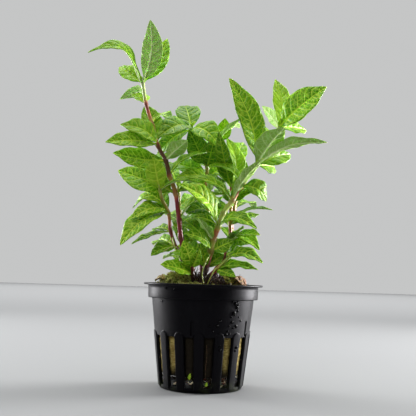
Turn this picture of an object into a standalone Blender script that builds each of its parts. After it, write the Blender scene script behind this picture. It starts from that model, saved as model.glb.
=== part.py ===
"""Potted hygrophila: leafy aquarium stems rooted in a rock wool plug, which stands in a slotted net pot.

The script works in metres, with +Z up and the viewer at -Y. The origin is the centre of the pot's
underside. Sizes are given in millimetres times MM, and the tables of stems and leaves in plain
millimetres, which placed() turns into metres.
"""

import math
import random
from collections import namedtuple

import bmesh
import bpy
from mathutils import Vector
from mathutils.bvhtree import BVHTree

MM = 0.001
FIT_GAP = 0.3 * MM

# Net pot, a turned shell
POT_HEIGHT = 47.0 * MM
POT_WALL = 1.0 * MM
POT_FLOOR = 1.4 * MM
FOOT_RADIUS = 18.75 * MM
FOOT_ROUNDING = 1.2 * MM
SHOULDER_RADIUS = 23.5 * MM
COLLAR_RADIUS = 25.3 * MM
COLLAR_BOTTOM = 40.3 * MM
RIM_RADIUS = 27.5 * MM
RIM_THICKNESS = 0.9 * MM
RIM_BEVEL = 0.2 * MM
COLLAR_BEVEL = 0.3 * MM
COLLAR_DRAFT = 0.1 * MM
COLLAR_STEP = 0.6 * POT_WALL
POT_SEGMENTS = 45

# Openings and relief in the pot's wall, by angle round +Z from -Y towards +X
SLOT_COUNT = 15
SLOT_PITCH = 2 * math.pi / SLOT_COUNT
FIRST_SLOT = math.radians(9)
SLOT_BOTTOM = 2.2 * MM
SLOT_TOP = 24.0 * MM
SLOT_HALF_TOP = 2.15 * MM
SLOT_HALF_BOTTOM = 1.9 * MM
RIB_PROUD = 0.5 * MM
RIB_BOTTOM = 1.2 * MM
RIB_TOP = 26.0 * MM
RIB_HALF_TOP = 2.2 * MM
RIB_HALF_BOTTOM = 1.75 * MM
RIB_ARCH_STEPS = 5
GROOVE_COUNT = 5
FIRST_GROOVE = math.radians(-11)
GROOVE_HALF = 0.65 * MM
GROOVE_BOTTOM = 24.6 * MM
GROOVE_TOP = 31.0 * MM
GROOVE_DEPTH = 0.5 * MM
DRAIN_COUNT = 6
DRAIN_INNER = 7.5 * MM
DRAIN_OUTER = 14.5 * MM
DRAIN_HALF = 1.25 * MM
CUT_OVERLAP = 1.0 * MM
CUT_INSIDE = 3 * POT_WALL
CUT_OUTSIDE = 3 * RIB_PROUD

# Rock wool plug
PLUG_BOTTOM = 6.6 * MM
PLUG_EDGE_TOP = 44.0 * MM
PLUG_CROWN = 2.0 * MM
PLUG_BEVEL = 0.8 * MM
PLUG_MIDDLE = 25.0 * MM
PLUG_SIDE_TOP = 39.0 * MM
PLUG_LUMP = 0.55 * MM
BROAD_LUMPS = (640, 560)
FINE_LUMPS = (1300, 900)
FINE_LUMP_SHARE = 0.6
PLUG_SEGMENTS = 32
PLUG_RINGS = 6
HEAP_CENTRE = (-13.0 * MM, -8.0 * MM)
HEAP_HEIGHT = 5.8 * MM
HEAP_SPREAD = 9.0 * MM
HOLE_FLOOR = 35.0 * MM
HOLE_TOP = POT_HEIGHT + 20 * MM
HOLE_CLEARANCE = 1.5 * FIT_GAP
HOLE_SIDES = 12

# A direction that sets how a tube's cross-section is turned
NO_TUBE_RUNS_THIS_WAY = Vector((0.3, -1, 0.1))

# Roots below the plug
ROOT_COUNT = 11
ROOT_RADIUS = 0.5 * MM
ROOT_REACH = 15.5 * MM
ROOT_SIDES = 5
ROOT_SHARES = (0.12, 0.4, 0.62, 0.82, 1)
ROOT_SWAY_FROM = 0.3
ROOT_SPREAD = 0.2
ROOT_WANDER = 0.14
ROOT_TAPER = 0.6
ROOT_HUB_RADIUS = 4.5 * MM
ROOT_HUB_BOTTOM = 0.8 * ROOT_HUB_RADIUS
ROOT_HUB_TOP = 0.7 * ROOT_HUB_RADIUS
ROOT_HUB_SIDES = 10
ROOT_SEED = 11

# Stems
STEM_SIDES = 6
STEM_FOOT = HOLE_FLOOR + FIT_GAP
STEM_STRAIGHT_TOP = 50.0 * MM
NODE_SWELL = 1.28
STEPS_PER_NODE = 2
BUD_LENGTH = 2.5 * MM
BUD_RADIUS = 0.3 * MM

# Leaves
LEAF_THICKNESS = 0.62 * MM
LEAF_FOLD = 0.22
LEAF_WAVE = 0.35 * MM
LEFT_WAVES = 17
RIGHT_WAVES = 19
FULL_WAVE_HALF = 3.0 * MM
LEAF_CLEARANCE = 0.35 * MM
TANGENT_STEP = 0.03
PETIOLE_SHARE = 0.13
PETIOLE_END = 0.1
BLADE_SHARE = 0.96
BLADE_SKEW = 0.88
BLADE_FULLNESS = 0.85
NARROWEST_SHARE = 0.07
LARGE_LEAF = 10.5
LARGE_LEAF_STATIONS = (0, 0.11, 0.28, 0.46, 0.64, 0.82, 1)
SMALL_LEAF_STATIONS = (0, 0.14, 0.42, 0.72, 1)
POINTS_PER_STATION = 6
RULE_SEED = 5

# Ways to bend a leaf clear: its tip goes towards or away from the viewer, and a little up or down
BENDS = sorted(
    ((dy, dz) for dy in range(-18, 19, 3) for dz in range(-6, 7, 2)),
    key=lambda bend: (abs(bend[0]) + 2.5 * abs(bend[1]), bend),
)
SHRINKS = (1.0, 0.8, 0.62)

Stem = namedtuple("Stem", "foot radius top_radius turn nodes")
Leaf = namedtuple("Leaf", "node tip face arch width skew sweep", defaults=(0.9, 0))

# Stems: foot on the plug (x, y), radius at foot and top, turn of the first leaf pair in degrees,
# and the leaf nodes from the bottom up (x, y, z)
STEMS = {
    "stem_tall": Stem((-4, -3), 1.2, 0.75, 60, [
        (-6, -3, 54), (-9, -4, 61), (-11, -5, 68), (-12, -6, 76), (-14, -8, 88), (-17, -8, 96),
        (-19, -8, 103), (-23, -8, 110), (-26, -8, 120), (-29, -8, 129), (-31, -8, 139)]),
    "stem_left": Stem((-7, 2), 0.9, 0.65, 100, [
        (-9, 2, 56), (-13, 0, 63), (-16, -2, 71), (-17, -5, 79), (-20, -9, 85), (-21, -11, 89)]),
    "stem_middle": Stem((-1, 6), 1.1, 0.7, 45, [
        (-1, 8, 57), (1, 8, 65), (1, 8, 78), (1, 8, 89), (0, 7, 97), (0, 6, 103), (-3, 5, 111),
        (-8, 3, 120)]),
    "stem_inner": Stem((5, 3), 1.0, 0.65, 80, [
        (6, 2, 54), (10, 2, 60), (12, 4, 67), (12, 6, 75), (12, 7, 85), (12, 7, 93), (10, 6, 103),
        (7, 6, 115)]),
    "stem_right": Stem((1, -5), 1.3, 0.8, 70, [
        (1, -6, 54), (3, -8, 62), (4, -9, 67), (6, -10, 73), (8, -10, 79), (12, -9, 85),
        (16, -8, 92), (23, -8, 102), (27, -8, 109), (30, -7, 115), (33, -6, 120)]),
    "shoot_front": Stem((-5, -9), 1.0, 0.7, 120, [(-5, -10, 51), (-5, -11, 54)]),
    "shoot_side": Stem((1.5, -10), 0.85, 0.6, 30, [(5.5, -11, 53.5), (10, -12, 58)]),
    "shoot_back_left": Stem((-8, 11), 1.1, 0.75, 20, [
        (-9, 13, 55), (-11, 15, 64), (-12, 17, 74), (-13, 19, 84), (-14, 20, 94)]),
    "shoot_back_right": Stem((8, 12), 1.1, 0.75, 75, [
        (9, 14, 55), (11, 16, 64), (13, 18, 74), (14, 19, 84), (16, 20, 95), (17, 21, 106)]),
}

# Leaves read from the photo: node on the stem, tip, direction that the upper side faces,
# height of the arch, width, how near the tip the arch peaks, and the blade's sideways bow
LEAVES = {
    "stem_tall": [
        Leaf(10, (-28, -15, 167), (0.2, 0.95, 0.1), 0.5, 10, 0.9, -2.2),
        Leaf(10, (-21, 4, 165), (0.3, -0.9, 0.2), 0, 9, 0.9, 1),
        Leaf(10, (-55, -20, 149), (0, -0.7, 0.85), 9.5, 11, 1.25),
        Leaf(10, (-44, 4, 150), (-0.2, -0.9, 0.4), 1, 8),
        Leaf(9, (-37, 4, 137), (0, -0.8, 0.6), 1, 5),
        Leaf(9, (-44, 8, 136), (0, 0.6, 0.8), 6, 7),
        Leaf(7, (-30, 0, 131), (0.3, -0.9, 0.2), 1, 10),
        Leaf(7, (-40, -10, 118), (0.2, -0.8, 0.6), 4, 11),
        Leaf(7, (-45, -22, 108), (0.1, -0.85, 0.55), 2, 10),
        Leaf(6, (-42, -18, 104), (0.1, -0.9, 0.45), -2, 11),
        Leaf(4, (-42, -2, 99), (0, -0.9, 0.45), 1, 14),
        Leaf(6, (-9, -16, 111), (-0.1, 0.8, 0.6), 1, 8),
    ],
    "stem_left": [
        Leaf(5, (-24, -15, 103), (-0.2, -0.95, 0.2), 1, 9.5),
        Leaf(4, (-19, -2, 101), (0.8, -0.5, 0.2), 1, 6),
        Leaf(3, (-34, -8, 81), (-0.1, -0.6, 0.8), 8, 10),
        Leaf(3, (-33, -16, 77), (0, -0.7, 0.7), 4, 9),
        Leaf(3, (-37, -24, 63), (-0.3, -0.75, 0.6), 5, 12),
        Leaf(2, (-33, -10, 64), (0, -0.3, 1), 1, 6),
        Leaf(2, (-25, 8, 72), (0, -0.6, 0.8), 1, 7),
        Leaf(1, (-24, -10, 59), (0, -0.6, 0.8), 2, 8),
    ],
    "stem_middle": [
        Leaf(7, (-23, -12, 112.5), (-0.1, -0.85, 0.5), 4.5, 12),
        Leaf(7, (-12, 20, 136), (0, -0.8, 0.6), 2, 12),
        Leaf(7, (6, -10, 110.5), (0.1, -0.85, 0.5), 4.5, 12),
        Leaf(7, (-24, 6, 108), (-0.2, -0.85, 0.5), 3, 10),
        Leaf(5, (-9, -2, 119), (-0.3, -0.9, 0.3), 1, 10),
        Leaf(5, (3, -2, 115), (0.2, -0.9, 0.3), 1, 9),
        Leaf(5, (18, -10, 125), (-0.6, 0.3, 0.75), 4, 5.5),
        Leaf(4, (-18, 14, 105), (0, -0.8, 0.6), 3, 10),
        Leaf(4, (15, 12, 108), (0.1, -0.8, 0.6), 2, 9),
        Leaf(3, (-14, -8, 95), (0, -0.7, 0.7), 7, 11),
        Leaf(3, (-10, 18, 98), (0, -0.8, 0.6), 3, 10),
        Leaf(2, (-9, -6, 79), (-0.1, -0.8, 0.6), 4, 10),
        Leaf(2, (-13, 14, 84), (0, -0.8, 0.6), 3, 9),
        Leaf(1, (-7, -4, 69), (0, -0.7, 0.7), 3, 8),
        Leaf(0, (8, -1, 65), (0, -0.8, 0.5), 2, 7),
    ],
    "stem_inner": [
        Leaf(7, (8, 2, 126), (0.1, -0.9, 0.3), 1, 7),
        Leaf(6, (18, 16, 117), (0.2, -0.9, 0.3), 2, 9),
        Leaf(5, (5, -6, 116), (-0.3, -0.9, 0.2), 1, 8),
        Leaf(5, (9, -2, 117), (0.5, -0.8, 0.2), 6, 9),
        Leaf(5, (19, 4, 106), (0.3, -0.8, 0.4), 1, 8),
        Leaf(4, (0, 0, 97), (-0.2, -0.8, 0.6), 1, 10),
        Leaf(4, (22, 0, 91), (-0.2, -0.8, 0.6), 3, 10),
        Leaf(3, (31, -4, 82), (0, -0.2, 1), 4, 7),
        Leaf(3, (26, 10, 81), (0, -0.5, 0.9), 1, 7),
        Leaf(2, (25, -8, 63), (0.1, -0.6, 0.8), 5, 9),
        Leaf(2, (21, -2, 66), (0, -0.8, 0.5), 2, 8),
        Leaf(2, (24, -10, 69), (0.1, -0.8, 0.5), 2, 8),
        Leaf(2, (17, -9, 72), (0.1, -0.9, 0.3), 1, 7),
        Leaf(1, (17.5, -5, 63), (0, -0.9, 0.4), 1, 6.5),
        Leaf(0, (17, -3, 57), (0, -0.8, 0.6), 1, 6),
    ],
    "stem_right": [
        Leaf(10, (53, -18, 137), (-0.3, -0.9, 0.4), 2, 14.5),
        Leaf(10, (32, 6, 147), (0.3, -0.9, 0.1), 1, 10, 0.9, 2),
        Leaf(10, (26, 8, 134), (0.5, 0.7, 0.3), 1, 6),
        Leaf(10, (48, 10, 123), (0, -0.9, 0.4), 1, 9),
        Leaf(7, (9, -14, 141), (0.4, -0.9, 0.1), 3, 12.5, 0.9, 2),
        Leaf(7, (34, -22, 117), (-0.4, 0.8, 0.3), 2, 12),
        Leaf(7, (52, -26, 110), (-0.1, 0.45, 0.9), 5, 8),
        Leaf(7, (40, 6, 110), (0.3, -0.8, 0.5), 2, 10),
        Leaf(7, (33, 10, 104), (0.3, -0.9, 0.2), 1, 9),
        Leaf(6, (28, -4, 86), (0.4, -0.8, 0.4), 4, 10),
        Leaf(3, (-12, -24, 90), (0.5, -0.7, 0.55), 5, 12, 1.1),
        Leaf(5, (25, -20, 103), (-0.6, 0.6, 0.5), 2, 7),
        Leaf(3, (23, -18, 72), (0, -0.6, 0.8), 5, 9),
        Leaf(2, (-3, -18, 76), (0.5, 0.5, 0.5), 0, 6),
        Leaf(1, (-9, -18, 71), (0.2, -0.7, 0.6), 3, 9),
        Leaf(1, (13, -6, 71), (0.3, -0.95, 0.25), 0.5, 6.5),
        Leaf(0, (9, -1, 61), (0, -0.9, 0.4), 1, 5.5),
        Leaf(0, (-2, -10, 65), (-0.1, -1, 0.1), 0.5, 5.5),
    ],
    "shoot_front": [
        Leaf(0, (-19, -18, 55), (0.05, -0.75, 0.8), 0.8, 9),
        Leaf(1, (-9.5, -14, 66), (0.1, -1, 0.15), 1, 7.5),
        Leaf(1, (-2, -15, 62), (0.1, -0.95, 0.2), 0.5, 5),
    ],
    "shoot_side": [
        Leaf(1, (26, -17, 57), (0.05, -0.6, 0.9), 4, 9),
        Leaf(0, (24, -15, 54), (0, -0.5, 1), 2, 7.5),
        Leaf(0, (14, -19, 50.5), (0, -0.8, 0.6), 0.5, 5.5),
    ],
    "shoot_back_left": [],
    "shoot_back_right": [],
}

# Leaves that the rule adds on the far side of each stem
RULE_LENGTHS = (19, 31)
RULE_SLENDERNESS = 0.29
RULE_ARCH_SHARE = 0.15
RULE_LOWEST_NODE = 0
RULE_CROWDING = 0.2
RULE_TURN_PER_NODE = 90
RULE_TURN_SPREAD = 0.35
RULE_RISE = (5, 35)
RULE_FACE_ACROSS = (-0.4, 0.4)
RULE_FACE_FRONT = (-0.9, -0.3)
BUSH_TOP = 100
BUSH_FAN = math.radians(48)
CROWN_FAN = math.radians(22)
INWARD_TURN = math.radians(1.5)

# Withered leaves on the plug: foot, tip, upper side, arch, width
WITHERED_GAP = 1.3 * FIT_GAP
WITHERED = {
    "withered_leaf_long": ((16.5, -11, 50), (8, -11.5, 57), (0.4, -0.9, 0.5), 1.0, 6),
    "withered_leaf_short": ((20, -5, 50), (14, -13, 55), (0.5, -0.7, 0.6), 1.0, 5),
    "withered_scrap": ((-22, -6, 50), (-17, -12, 51), (-0.5, -0.3, 0.8), 0.8, 4),
}

# Colour, roughness
COLOURS = {
    "pot": ((0.012, 0.012, 0.014), 0.34),
    "plug": ((0.30, 0.26, 0.10), 0.95),
    "root": ((0.72, 0.66, 0.48), 0.7),
    "leaf": ((0.22, 0.42, 0.05), 0.45),
    "withered": ((0.28, 0.13, 0.03), 0.8),
}


def clear_scene():
    for obj in list(bpy.data.objects):
        bpy.data.objects.remove(obj, do_unlink=True)


def material(name):
    colour, roughness = COLOURS[name]
    made = bpy.data.materials.new(name)
    made.use_nodes = True
    shader = made.node_tree.nodes["Principled BSDF"]
    shader.inputs["Base Color"].default_value = (*colour, 1)
    shader.inputs["Roughness"].default_value = roughness
    shader.inputs["Metallic"].default_value = 0
    return made


def mesh_object(name, points, faces, look=None):
    """A closed mesh object with its faces turned outwards."""
    mesh = bpy.data.meshes.new(name)
    mesh.from_pydata([tuple(point) for point in points], [], faces)
    form = bmesh.new()
    form.from_mesh(mesh)
    bmesh.ops.recalc_face_normals(form, faces=form.faces)
    form.to_mesh(mesh)
    form.free()
    obj = bpy.data.objects.new(name, mesh)
    bpy.context.scene.collection.objects.link(obj)
    if look:
        mesh.materials.append(look)
    return obj


def evaluated_mesh(obj):
    graph = bpy.context.evaluated_depsgraph_get()
    return bpy.data.meshes.new_from_object(obj.evaluated_get(graph))


def apply_modifiers(obj):
    mesh = evaluated_mesh(obj)
    obj.modifiers.clear()
    obj.data = mesh


def remove_all(objects):
    for obj in list(objects):
        bpy.data.objects.remove(obj, do_unlink=True)


def combine(obj, others, operation, solver="EXACT"):
    """One Boolean between the object and a collection of others, which are then removed."""
    helpers = bpy.data.collections.new(obj.name + "_helpers")
    bpy.context.scene.collection.children.link(helpers)
    for other in others:
        bpy.context.scene.collection.objects.unlink(other)
        helpers.objects.link(other)
    step = obj.modifiers.new(operation.lower(), "BOOLEAN")
    step.operation = operation
    step.operand_type = "COLLECTION"
    step.collection = helpers
    step.solver = solver
    apply_modifiers(obj)
    remove_all(helpers.objects)
    bpy.data.collections.remove(helpers)


def placed(point):
    """A point of the tables, from millimetres to metres."""
    return Vector(point) * MM


# Net pot


def wall_radius(z):
    """Outer radius of the pot's tapered body at a height."""
    return FOOT_RADIUS + (SHOULDER_RADIUS - FOOT_RADIUS) * z / COLLAR_BOTTOM


def pot_profile():
    """(radius, height) points from the middle of the underside, up the outside and down the inside."""
    foot = [
        (
            wall_radius(FOOT_ROUNDING) - FOOT_ROUNDING * (1 - math.sin(angle)),
            FOOT_ROUNDING * (1 - math.cos(angle)),
        )
        for angle in (0, math.pi / 4, math.pi / 2)
    ]
    collar_inside = COLLAR_RADIUS - POT_WALL
    outside = [
        (SHOULDER_RADIUS, COLLAR_BOTTOM),
        (COLLAR_RADIUS - COLLAR_BEVEL, COLLAR_BOTTOM),
        (COLLAR_RADIUS, COLLAR_BOTTOM + COLLAR_BEVEL),
        (COLLAR_RADIUS + COLLAR_DRAFT, POT_HEIGHT - RIM_THICKNESS),
        (RIM_RADIUS - RIM_BEVEL, POT_HEIGHT - RIM_THICKNESS),
        (RIM_RADIUS, POT_HEIGHT - RIM_THICKNESS / 2),
        (RIM_RADIUS - RIM_BEVEL, POT_HEIGHT),
    ]
    inside = [
        (collar_inside, POT_HEIGHT),
        (collar_inside, COLLAR_BOTTOM + COLLAR_STEP),
        (SHOULDER_RADIUS - POT_WALL, COLLAR_BOTTOM - COLLAR_STEP),
        (wall_radius(POT_FLOOR) - POT_WALL, POT_FLOOR),
    ]
    return [(0, 0)] + foot + outside + inside + [(0, POT_FLOOR)]


def turned(profile, segments):
    """Points and faces of a profile turned round the axis; points at radius 0 stay single."""
    points, rings, faces = [], [], []
    for radius, z in profile:
        count = segments if radius else 1
        rings.append([len(points) + k for k in range(count)])
        for k in range(count):
            angle = 2 * math.pi * k / segments
            points.append((radius * math.sin(angle), -radius * math.cos(angle), z))
    for lower, upper in zip(rings, rings[1:]):
        for k in range(segments):
            following = (k + 1) % segments
            corners = [
                lower[k % len(lower)],
                lower[following % len(lower)],
                upper[following % len(upper)],
                upper[k % len(upper)],
            ]
            faces.append(list(dict.fromkeys(corners)))
    return points, faces


def wall_prism(name, angle, outline, inner, outer):
    """A block that follows the pot's wall, from an outline of (across, height) points and two offsets."""
    points = []
    for offset in (inner, outer):
        for across, z in outline:
            turn = angle + across / wall_radius(z)
            radius = wall_radius(z) + offset
            points.append((radius * math.sin(turn), -radius * math.cos(turn), z))
    count = len(outline)
    faces = [list(range(count)), list(range(2 * count - 1, count - 1, -1))]
    for k in range(count):
        following = (k + 1) % count
        faces.append([k, following, count + following, count + k])
    return mesh_object(name, points, faces)


def slot_outline():
    return [
        (-SLOT_HALF_BOTTOM, SLOT_BOTTOM),
        (SLOT_HALF_BOTTOM, SLOT_BOTTOM),
        (SLOT_HALF_TOP, SLOT_TOP),
        (-SLOT_HALF_TOP, SLOT_TOP),
    ]


def rib_outline():
    """A tall pad with a rounded top."""
    middle = RIB_TOP - RIB_HALF_TOP
    arch = [
        (RIB_HALF_TOP * math.cos(angle), middle + RIB_HALF_TOP * math.sin(angle))
        for angle in (k * math.pi / RIB_ARCH_STEPS for k in range(RIB_ARCH_STEPS + 1))
    ]
    return [(-RIB_HALF_BOTTOM, RIB_BOTTOM), (RIB_HALF_BOTTOM, RIB_BOTTOM)] + arch


def groove_outline():
    return [
        (-GROOVE_HALF, GROOVE_BOTTOM),
        (GROOVE_HALF, GROOVE_BOTTOM),
        (GROOVE_HALF, GROOVE_TOP),
        (-GROOVE_HALF, GROOVE_TOP),
    ]


def drain_cutter(angle):
    across = Vector((math.cos(angle), math.sin(angle), 0))
    along = Vector((math.sin(angle), -math.cos(angle), 0))
    corners = [(-1, DRAIN_INNER), (1, DRAIN_INNER), (1, DRAIN_OUTER), (-1, DRAIN_OUTER)]
    base = [across * side * DRAIN_HALF + along * reach for side, reach in corners]
    heights = (-CUT_OVERLAP, POT_FLOOR + CUT_OVERLAP)
    points = [point + Vector((0, 0, z)) for z in heights for point in base]
    sides = [[k, (k + 1) % 4, 4 + (k + 1) % 4, 4 + k] for k in range(4)]
    faces = [[3, 2, 1, 0], [4, 5, 6, 7]] + sides
    return mesh_object("drain", points, faces)


def make_pot():
    points, faces = turned(pot_profile(), POT_SEGMENTS)
    pot = mesh_object("net_pot", points, faces, material("pot"))
    slot_angles = [FIRST_SLOT + k * SLOT_PITCH for k in range(SLOT_COUNT)]
    groove_angles = [FIRST_GROOVE + k * 2 * math.pi / GROOVE_COUNT for k in range(GROOVE_COUNT)]
    ribs = [
        wall_prism("rib", angle + SLOT_PITCH / 2, rib_outline(), -POT_WALL / 2, RIB_PROUD)
        for angle in slot_angles
    ]
    combine(pot, ribs, "UNION")
    cutters = [
        wall_prism("slot", angle, slot_outline(), -CUT_INSIDE, CUT_OUTSIDE)
        for angle in slot_angles
    ]
    cutters += [
        wall_prism("groove", angle, groove_outline(), -GROOVE_DEPTH, CUT_OUTSIDE)
        for angle in groove_angles
    ]
    cutters += [drain_cutter(k * 2 * math.pi / DRAIN_COUNT) for k in range(DRAIN_COUNT)]
    combine(pot, cutters, "DIFFERENCE")
    return pot


# Rock wool plug


def plug_radius(z):
    """Radius that leaves the fitting gap to the pot's inside."""
    return wall_radius(z) - POT_WALL - FIT_GAP


def plug_top(x, y):
    """Height of the plug's top: crowned, lumpy, and heaped up at the left."""
    away = math.hypot(x, y) / plug_radius(PLUG_EDGE_TOP)
    crown = PLUG_CROWN * (1 - away**2)
    broad = math.sin(BROAD_LUMPS[0] * x + 1) * math.cos(BROAD_LUMPS[1] * y)
    fine = math.sin(FINE_LUMPS[0] * x - FINE_LUMPS[1] * y)
    lumps = PLUG_LUMP * (broad + FINE_LUMP_SHARE * fine)
    heap_away = ((x - HEAP_CENTRE[0]) ** 2 + (y - HEAP_CENTRE[1]) ** 2) / HEAP_SPREAD**2
    return PLUG_EDGE_TOP + crown + lumps + HEAP_HEIGHT * math.exp(-heap_away)


def make_plug():
    side = [(0, PLUG_BOTTOM), (plug_radius(PLUG_BOTTOM) - PLUG_BEVEL, PLUG_BOTTOM)]
    side += [(plug_radius(z), z) for z in (PLUG_BOTTOM + PLUG_BEVEL, PLUG_MIDDLE, PLUG_SIDE_TOP)]
    edge = plug_radius(PLUG_SIDE_TOP)
    top = [(edge * (PLUG_RINGS - k) / PLUG_RINGS, PLUG_EDGE_TOP) for k in range(PLUG_RINGS + 1)]
    points, faces = turned(side + top, PLUG_SEGMENTS)
    first_top = 1 + (len(side) - 1) * PLUG_SEGMENTS
    points = points[:first_top] + [(x, y, plug_top(x, y)) for x, y, _ in points[first_top:]]
    plug = mesh_object("rockwool_plug", points, faces, material("plug"))
    combine(plug, [hole_cutter(stem) for stem in STEMS.values()], "DIFFERENCE")
    return plug


def hole_cutter(stem):
    x, y = stem.foot
    radius = stem.radius * MM + HOLE_CLEARANCE
    profile = [(0, HOLE_FLOOR), (radius, HOLE_FLOOR), (radius, HOLE_TOP), (0, HOLE_TOP)]
    points, faces = turned(profile, HOLE_SIDES)
    moved = [(px + x * MM, py + y * MM, pz) for px, py, pz in points]
    return mesh_object("hole", moved, faces)


# Roots


def smooth_path(points, steps):
    """A Catmull-Rom curve through the points, with a number of steps in each span."""
    ends = [2 * points[0] - points[1]] + list(points) + [2 * points[-1] - points[-2]]
    path = []
    for a, b, c, d in zip(ends, ends[1:], ends[2:], ends[3:]):
        for k in range(steps):
            t = k / steps
            bend = (2 * a - 5 * b + 4 * c - d) * t**2 + (3 * b - a - 3 * c + d) * t**3
            path.append(b + ((c - a) * t + bend) / 2)
    return path + [points[-1]]


def tube(path, radii, sides):
    """Points and faces of a closed tube along a path, with a radius for each of its points."""
    points, faces = [], []
    for k, (centre, radius) in enumerate(zip(path, radii)):
        tangent = (path[min(k + 1, len(path) - 1)] - path[max(k - 1, 0)]).normalized()
        across = tangent.cross(NO_TUBE_RUNS_THIS_WAY).normalized()
        other = tangent.cross(across)
        for j in range(sides):
            angle = 2 * math.pi * j / sides
            points.append(centre + radius * (across * math.cos(angle) + other * math.sin(angle)))
    for k in range(len(path) - 1):
        lower, upper = k * sides, (k + 1) * sides
        for j in range(sides):
            following = (j + 1) % sides
            faces.append([lower + j, lower + following, upper + following, upper + j])
    last = (len(path) - 1) * sides
    faces += [list(range(sides - 1, -1, -1)), list(range(last, last + sides))]
    return points, faces


def make_roots():
    rng = random.Random(ROOT_SEED)
    low = POT_FLOOR + FIT_GAP
    middle = (low + PLUG_BOTTOM) / 2
    half = (PLUG_BOTTOM - low) / 2 - FIT_GAP
    hub = [(0, middle - half), (ROOT_HUB_BOTTOM, middle - half), (ROOT_HUB_RADIUS, middle)]
    hub += [(ROOT_HUB_TOP, middle + half), (0, middle + half)]
    points, faces = turned(hub, ROOT_HUB_SIDES)
    roots = mesh_object("root_tangle", points, faces, material("root"))
    strands = []
    for k in range(ROOT_COUNT):
        angle = 2 * math.pi * (k + rng.uniform(-ROOT_SPREAD, ROOT_SPREAD)) / ROOT_COUNT
        path = []
        for share in ROOT_SHARES:
            turn = angle + rng.uniform(-ROOT_WANDER, ROOT_WANDER) * share
            sway = rng.uniform(-1, 1) * (half - 2 * ROOT_RADIUS) if share > ROOT_SWAY_FROM else 0
            reach = ROOT_REACH * share
            path.append(Vector((reach * math.sin(turn), -reach * math.cos(turn), middle + sway)))
        radii = [ROOT_RADIUS] * (len(path) - 1) + [ROOT_RADIUS * ROOT_TAPER]
        strands.append(mesh_object("strand", *tube(path, radii, ROOT_SIDES)))
    combine(roots, strands, "UNION", "MANIFOLD")
    return roots


# Leaf blades


def width_share(t):
    """Share of the full width along a leaf: a winged stalk that widens into a pointed blade."""
    if t < PETIOLE_END:
        return PETIOLE_SHARE
    if t >= 1:
        return NARROWEST_SHARE
    u = (t - PETIOLE_END) / (1 - PETIOLE_END)
    swell = math.sin(math.pi * u**BLADE_SKEW) ** BLADE_FULLNESS
    return max(PETIOLE_SHARE * (1 - u) + BLADE_SHARE * swell, NARROWEST_SHARE)


def upper_side(leaf, chord):
    """The direction that the leaf's upper side faces, made square to the line from its base to its tip."""
    face = Vector(leaf.face)
    return (face - chord * face.dot(chord) / chord.length_squared).normalized()


def leaf_spine(leaf, base, tip, t):
    """The midrib at t: the straight line from base to tip, arched upwards and bowed sideways."""
    chord = tip - base
    above = upper_side(leaf, chord)
    side = chord.normalized().cross(above)
    arched = above * leaf.arch * math.sin(math.pi * t**leaf.skew)
    return base + chord * t + (arched + side * leaf.sweep * math.sin(math.pi * t)) * MM


def leaf_row(leaf, base, tip, t):
    """Left, middle and right point of a leaf across its length at t, and its upward direction there."""
    middle = leaf_spine(leaf, base, tip, t)
    ahead = leaf_spine(leaf, base, tip, min(t + TANGENT_STEP, 1))
    behind = leaf_spine(leaf, base, tip, max(t - TANGENT_STEP, 0))
    tangent = (ahead - behind).normalized()
    side = tangent.cross(upper_side(leaf, tip - base)).normalized()
    up = side.cross(tangent)
    half = leaf.width * MM * width_share(t) / 2
    wave = LEAF_WAVE * min(1, half / FULL_WAVE_HALF)
    left_lift = LEAF_FOLD * half + wave * math.sin(LEFT_WAVES * t + leaf.width)
    right_lift = LEAF_FOLD * half + wave * math.cos(RIGHT_WAVES * t + leaf.width)
    left = middle - side * half + up * left_lift
    right = middle + side * half + up * right_lift
    return left, middle, right, up


def blade(leaf, base, tip, stations, thickness):
    """Points and triangles of a thin leaf, split alike on its upper and lower face."""
    points, faces = [], []
    for t in stations:
        left, middle, right, up = leaf_row(leaf, base, tip, t)
        lift = up * thickness / 2
        points += [left + lift, middle + lift, right + lift, left - lift, middle - lift, right - lift]
    for row in range(len(stations) - 1):
        a = POINTS_PER_STATION * row
        b = a + POINTS_PER_STATION
        for j in (0, 1):
            faces += [[a + j, a + j + 1, b + j + 1], [a + j, b + j + 1, b + j]]
            faces += [[a + j + 3, b + j + 4, a + j + 4], [a + j + 3, b + j + 3, b + j + 4]]
        faces += [[a, b, b + 3], [a, b + 3, a + 3], [a + 2, b + 5, b + 2], [a + 2, a + 5, b + 5]]
    last = POINTS_PER_STATION * (len(stations) - 1)
    for j in (0, 1):
        faces += [[j, j + 3, j + 4], [j, j + 4, j + 1]]
        faces += [[last + j, last + j + 4, last + j + 3], [last + j, last + j + 1, last + j + 4]]
    return points, faces


def stations_of(leaf):
    return LARGE_LEAF_STATIONS if leaf.width >= LARGE_LEAF else SMALL_LEAF_STATIONS


# Growing the stems


def stalk(stem):
    """Points and faces of a stem: straight in its hole, then through its nodes, swollen at each."""
    x, y = stem.foot
    buried = [Vector((x * MM, y * MM, z)) for z in (STEM_FOOT, (STEM_FOOT + STEM_STRAIGHT_TOP) / 2)]
    grown = [Vector((x * MM, y * MM, STEM_STRAIGHT_TOP))] + [placed(node) for node in stem.nodes]
    path = buried + smooth_path(grown, STEPS_PER_NODE)
    radii = []
    for k in range(len(path)):
        share = max(0, k - len(buried)) / (len(path) - len(buried))
        radius = (stem.radius + (stem.top_radius - stem.radius) * share) * MM
        at_node = k > len(buried) and (k - len(buried)) % STEPS_PER_NODE == 0
        radii.append(radius * (NODE_SWELL if at_node else 1))
    tip_way = (path[-1] - path[-2]).normalized()
    path.append(path[-1] + tip_way * BUD_LENGTH)
    radii.append(BUD_RADIUS)
    return tube(path, radii, STEM_SIDES)


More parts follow.
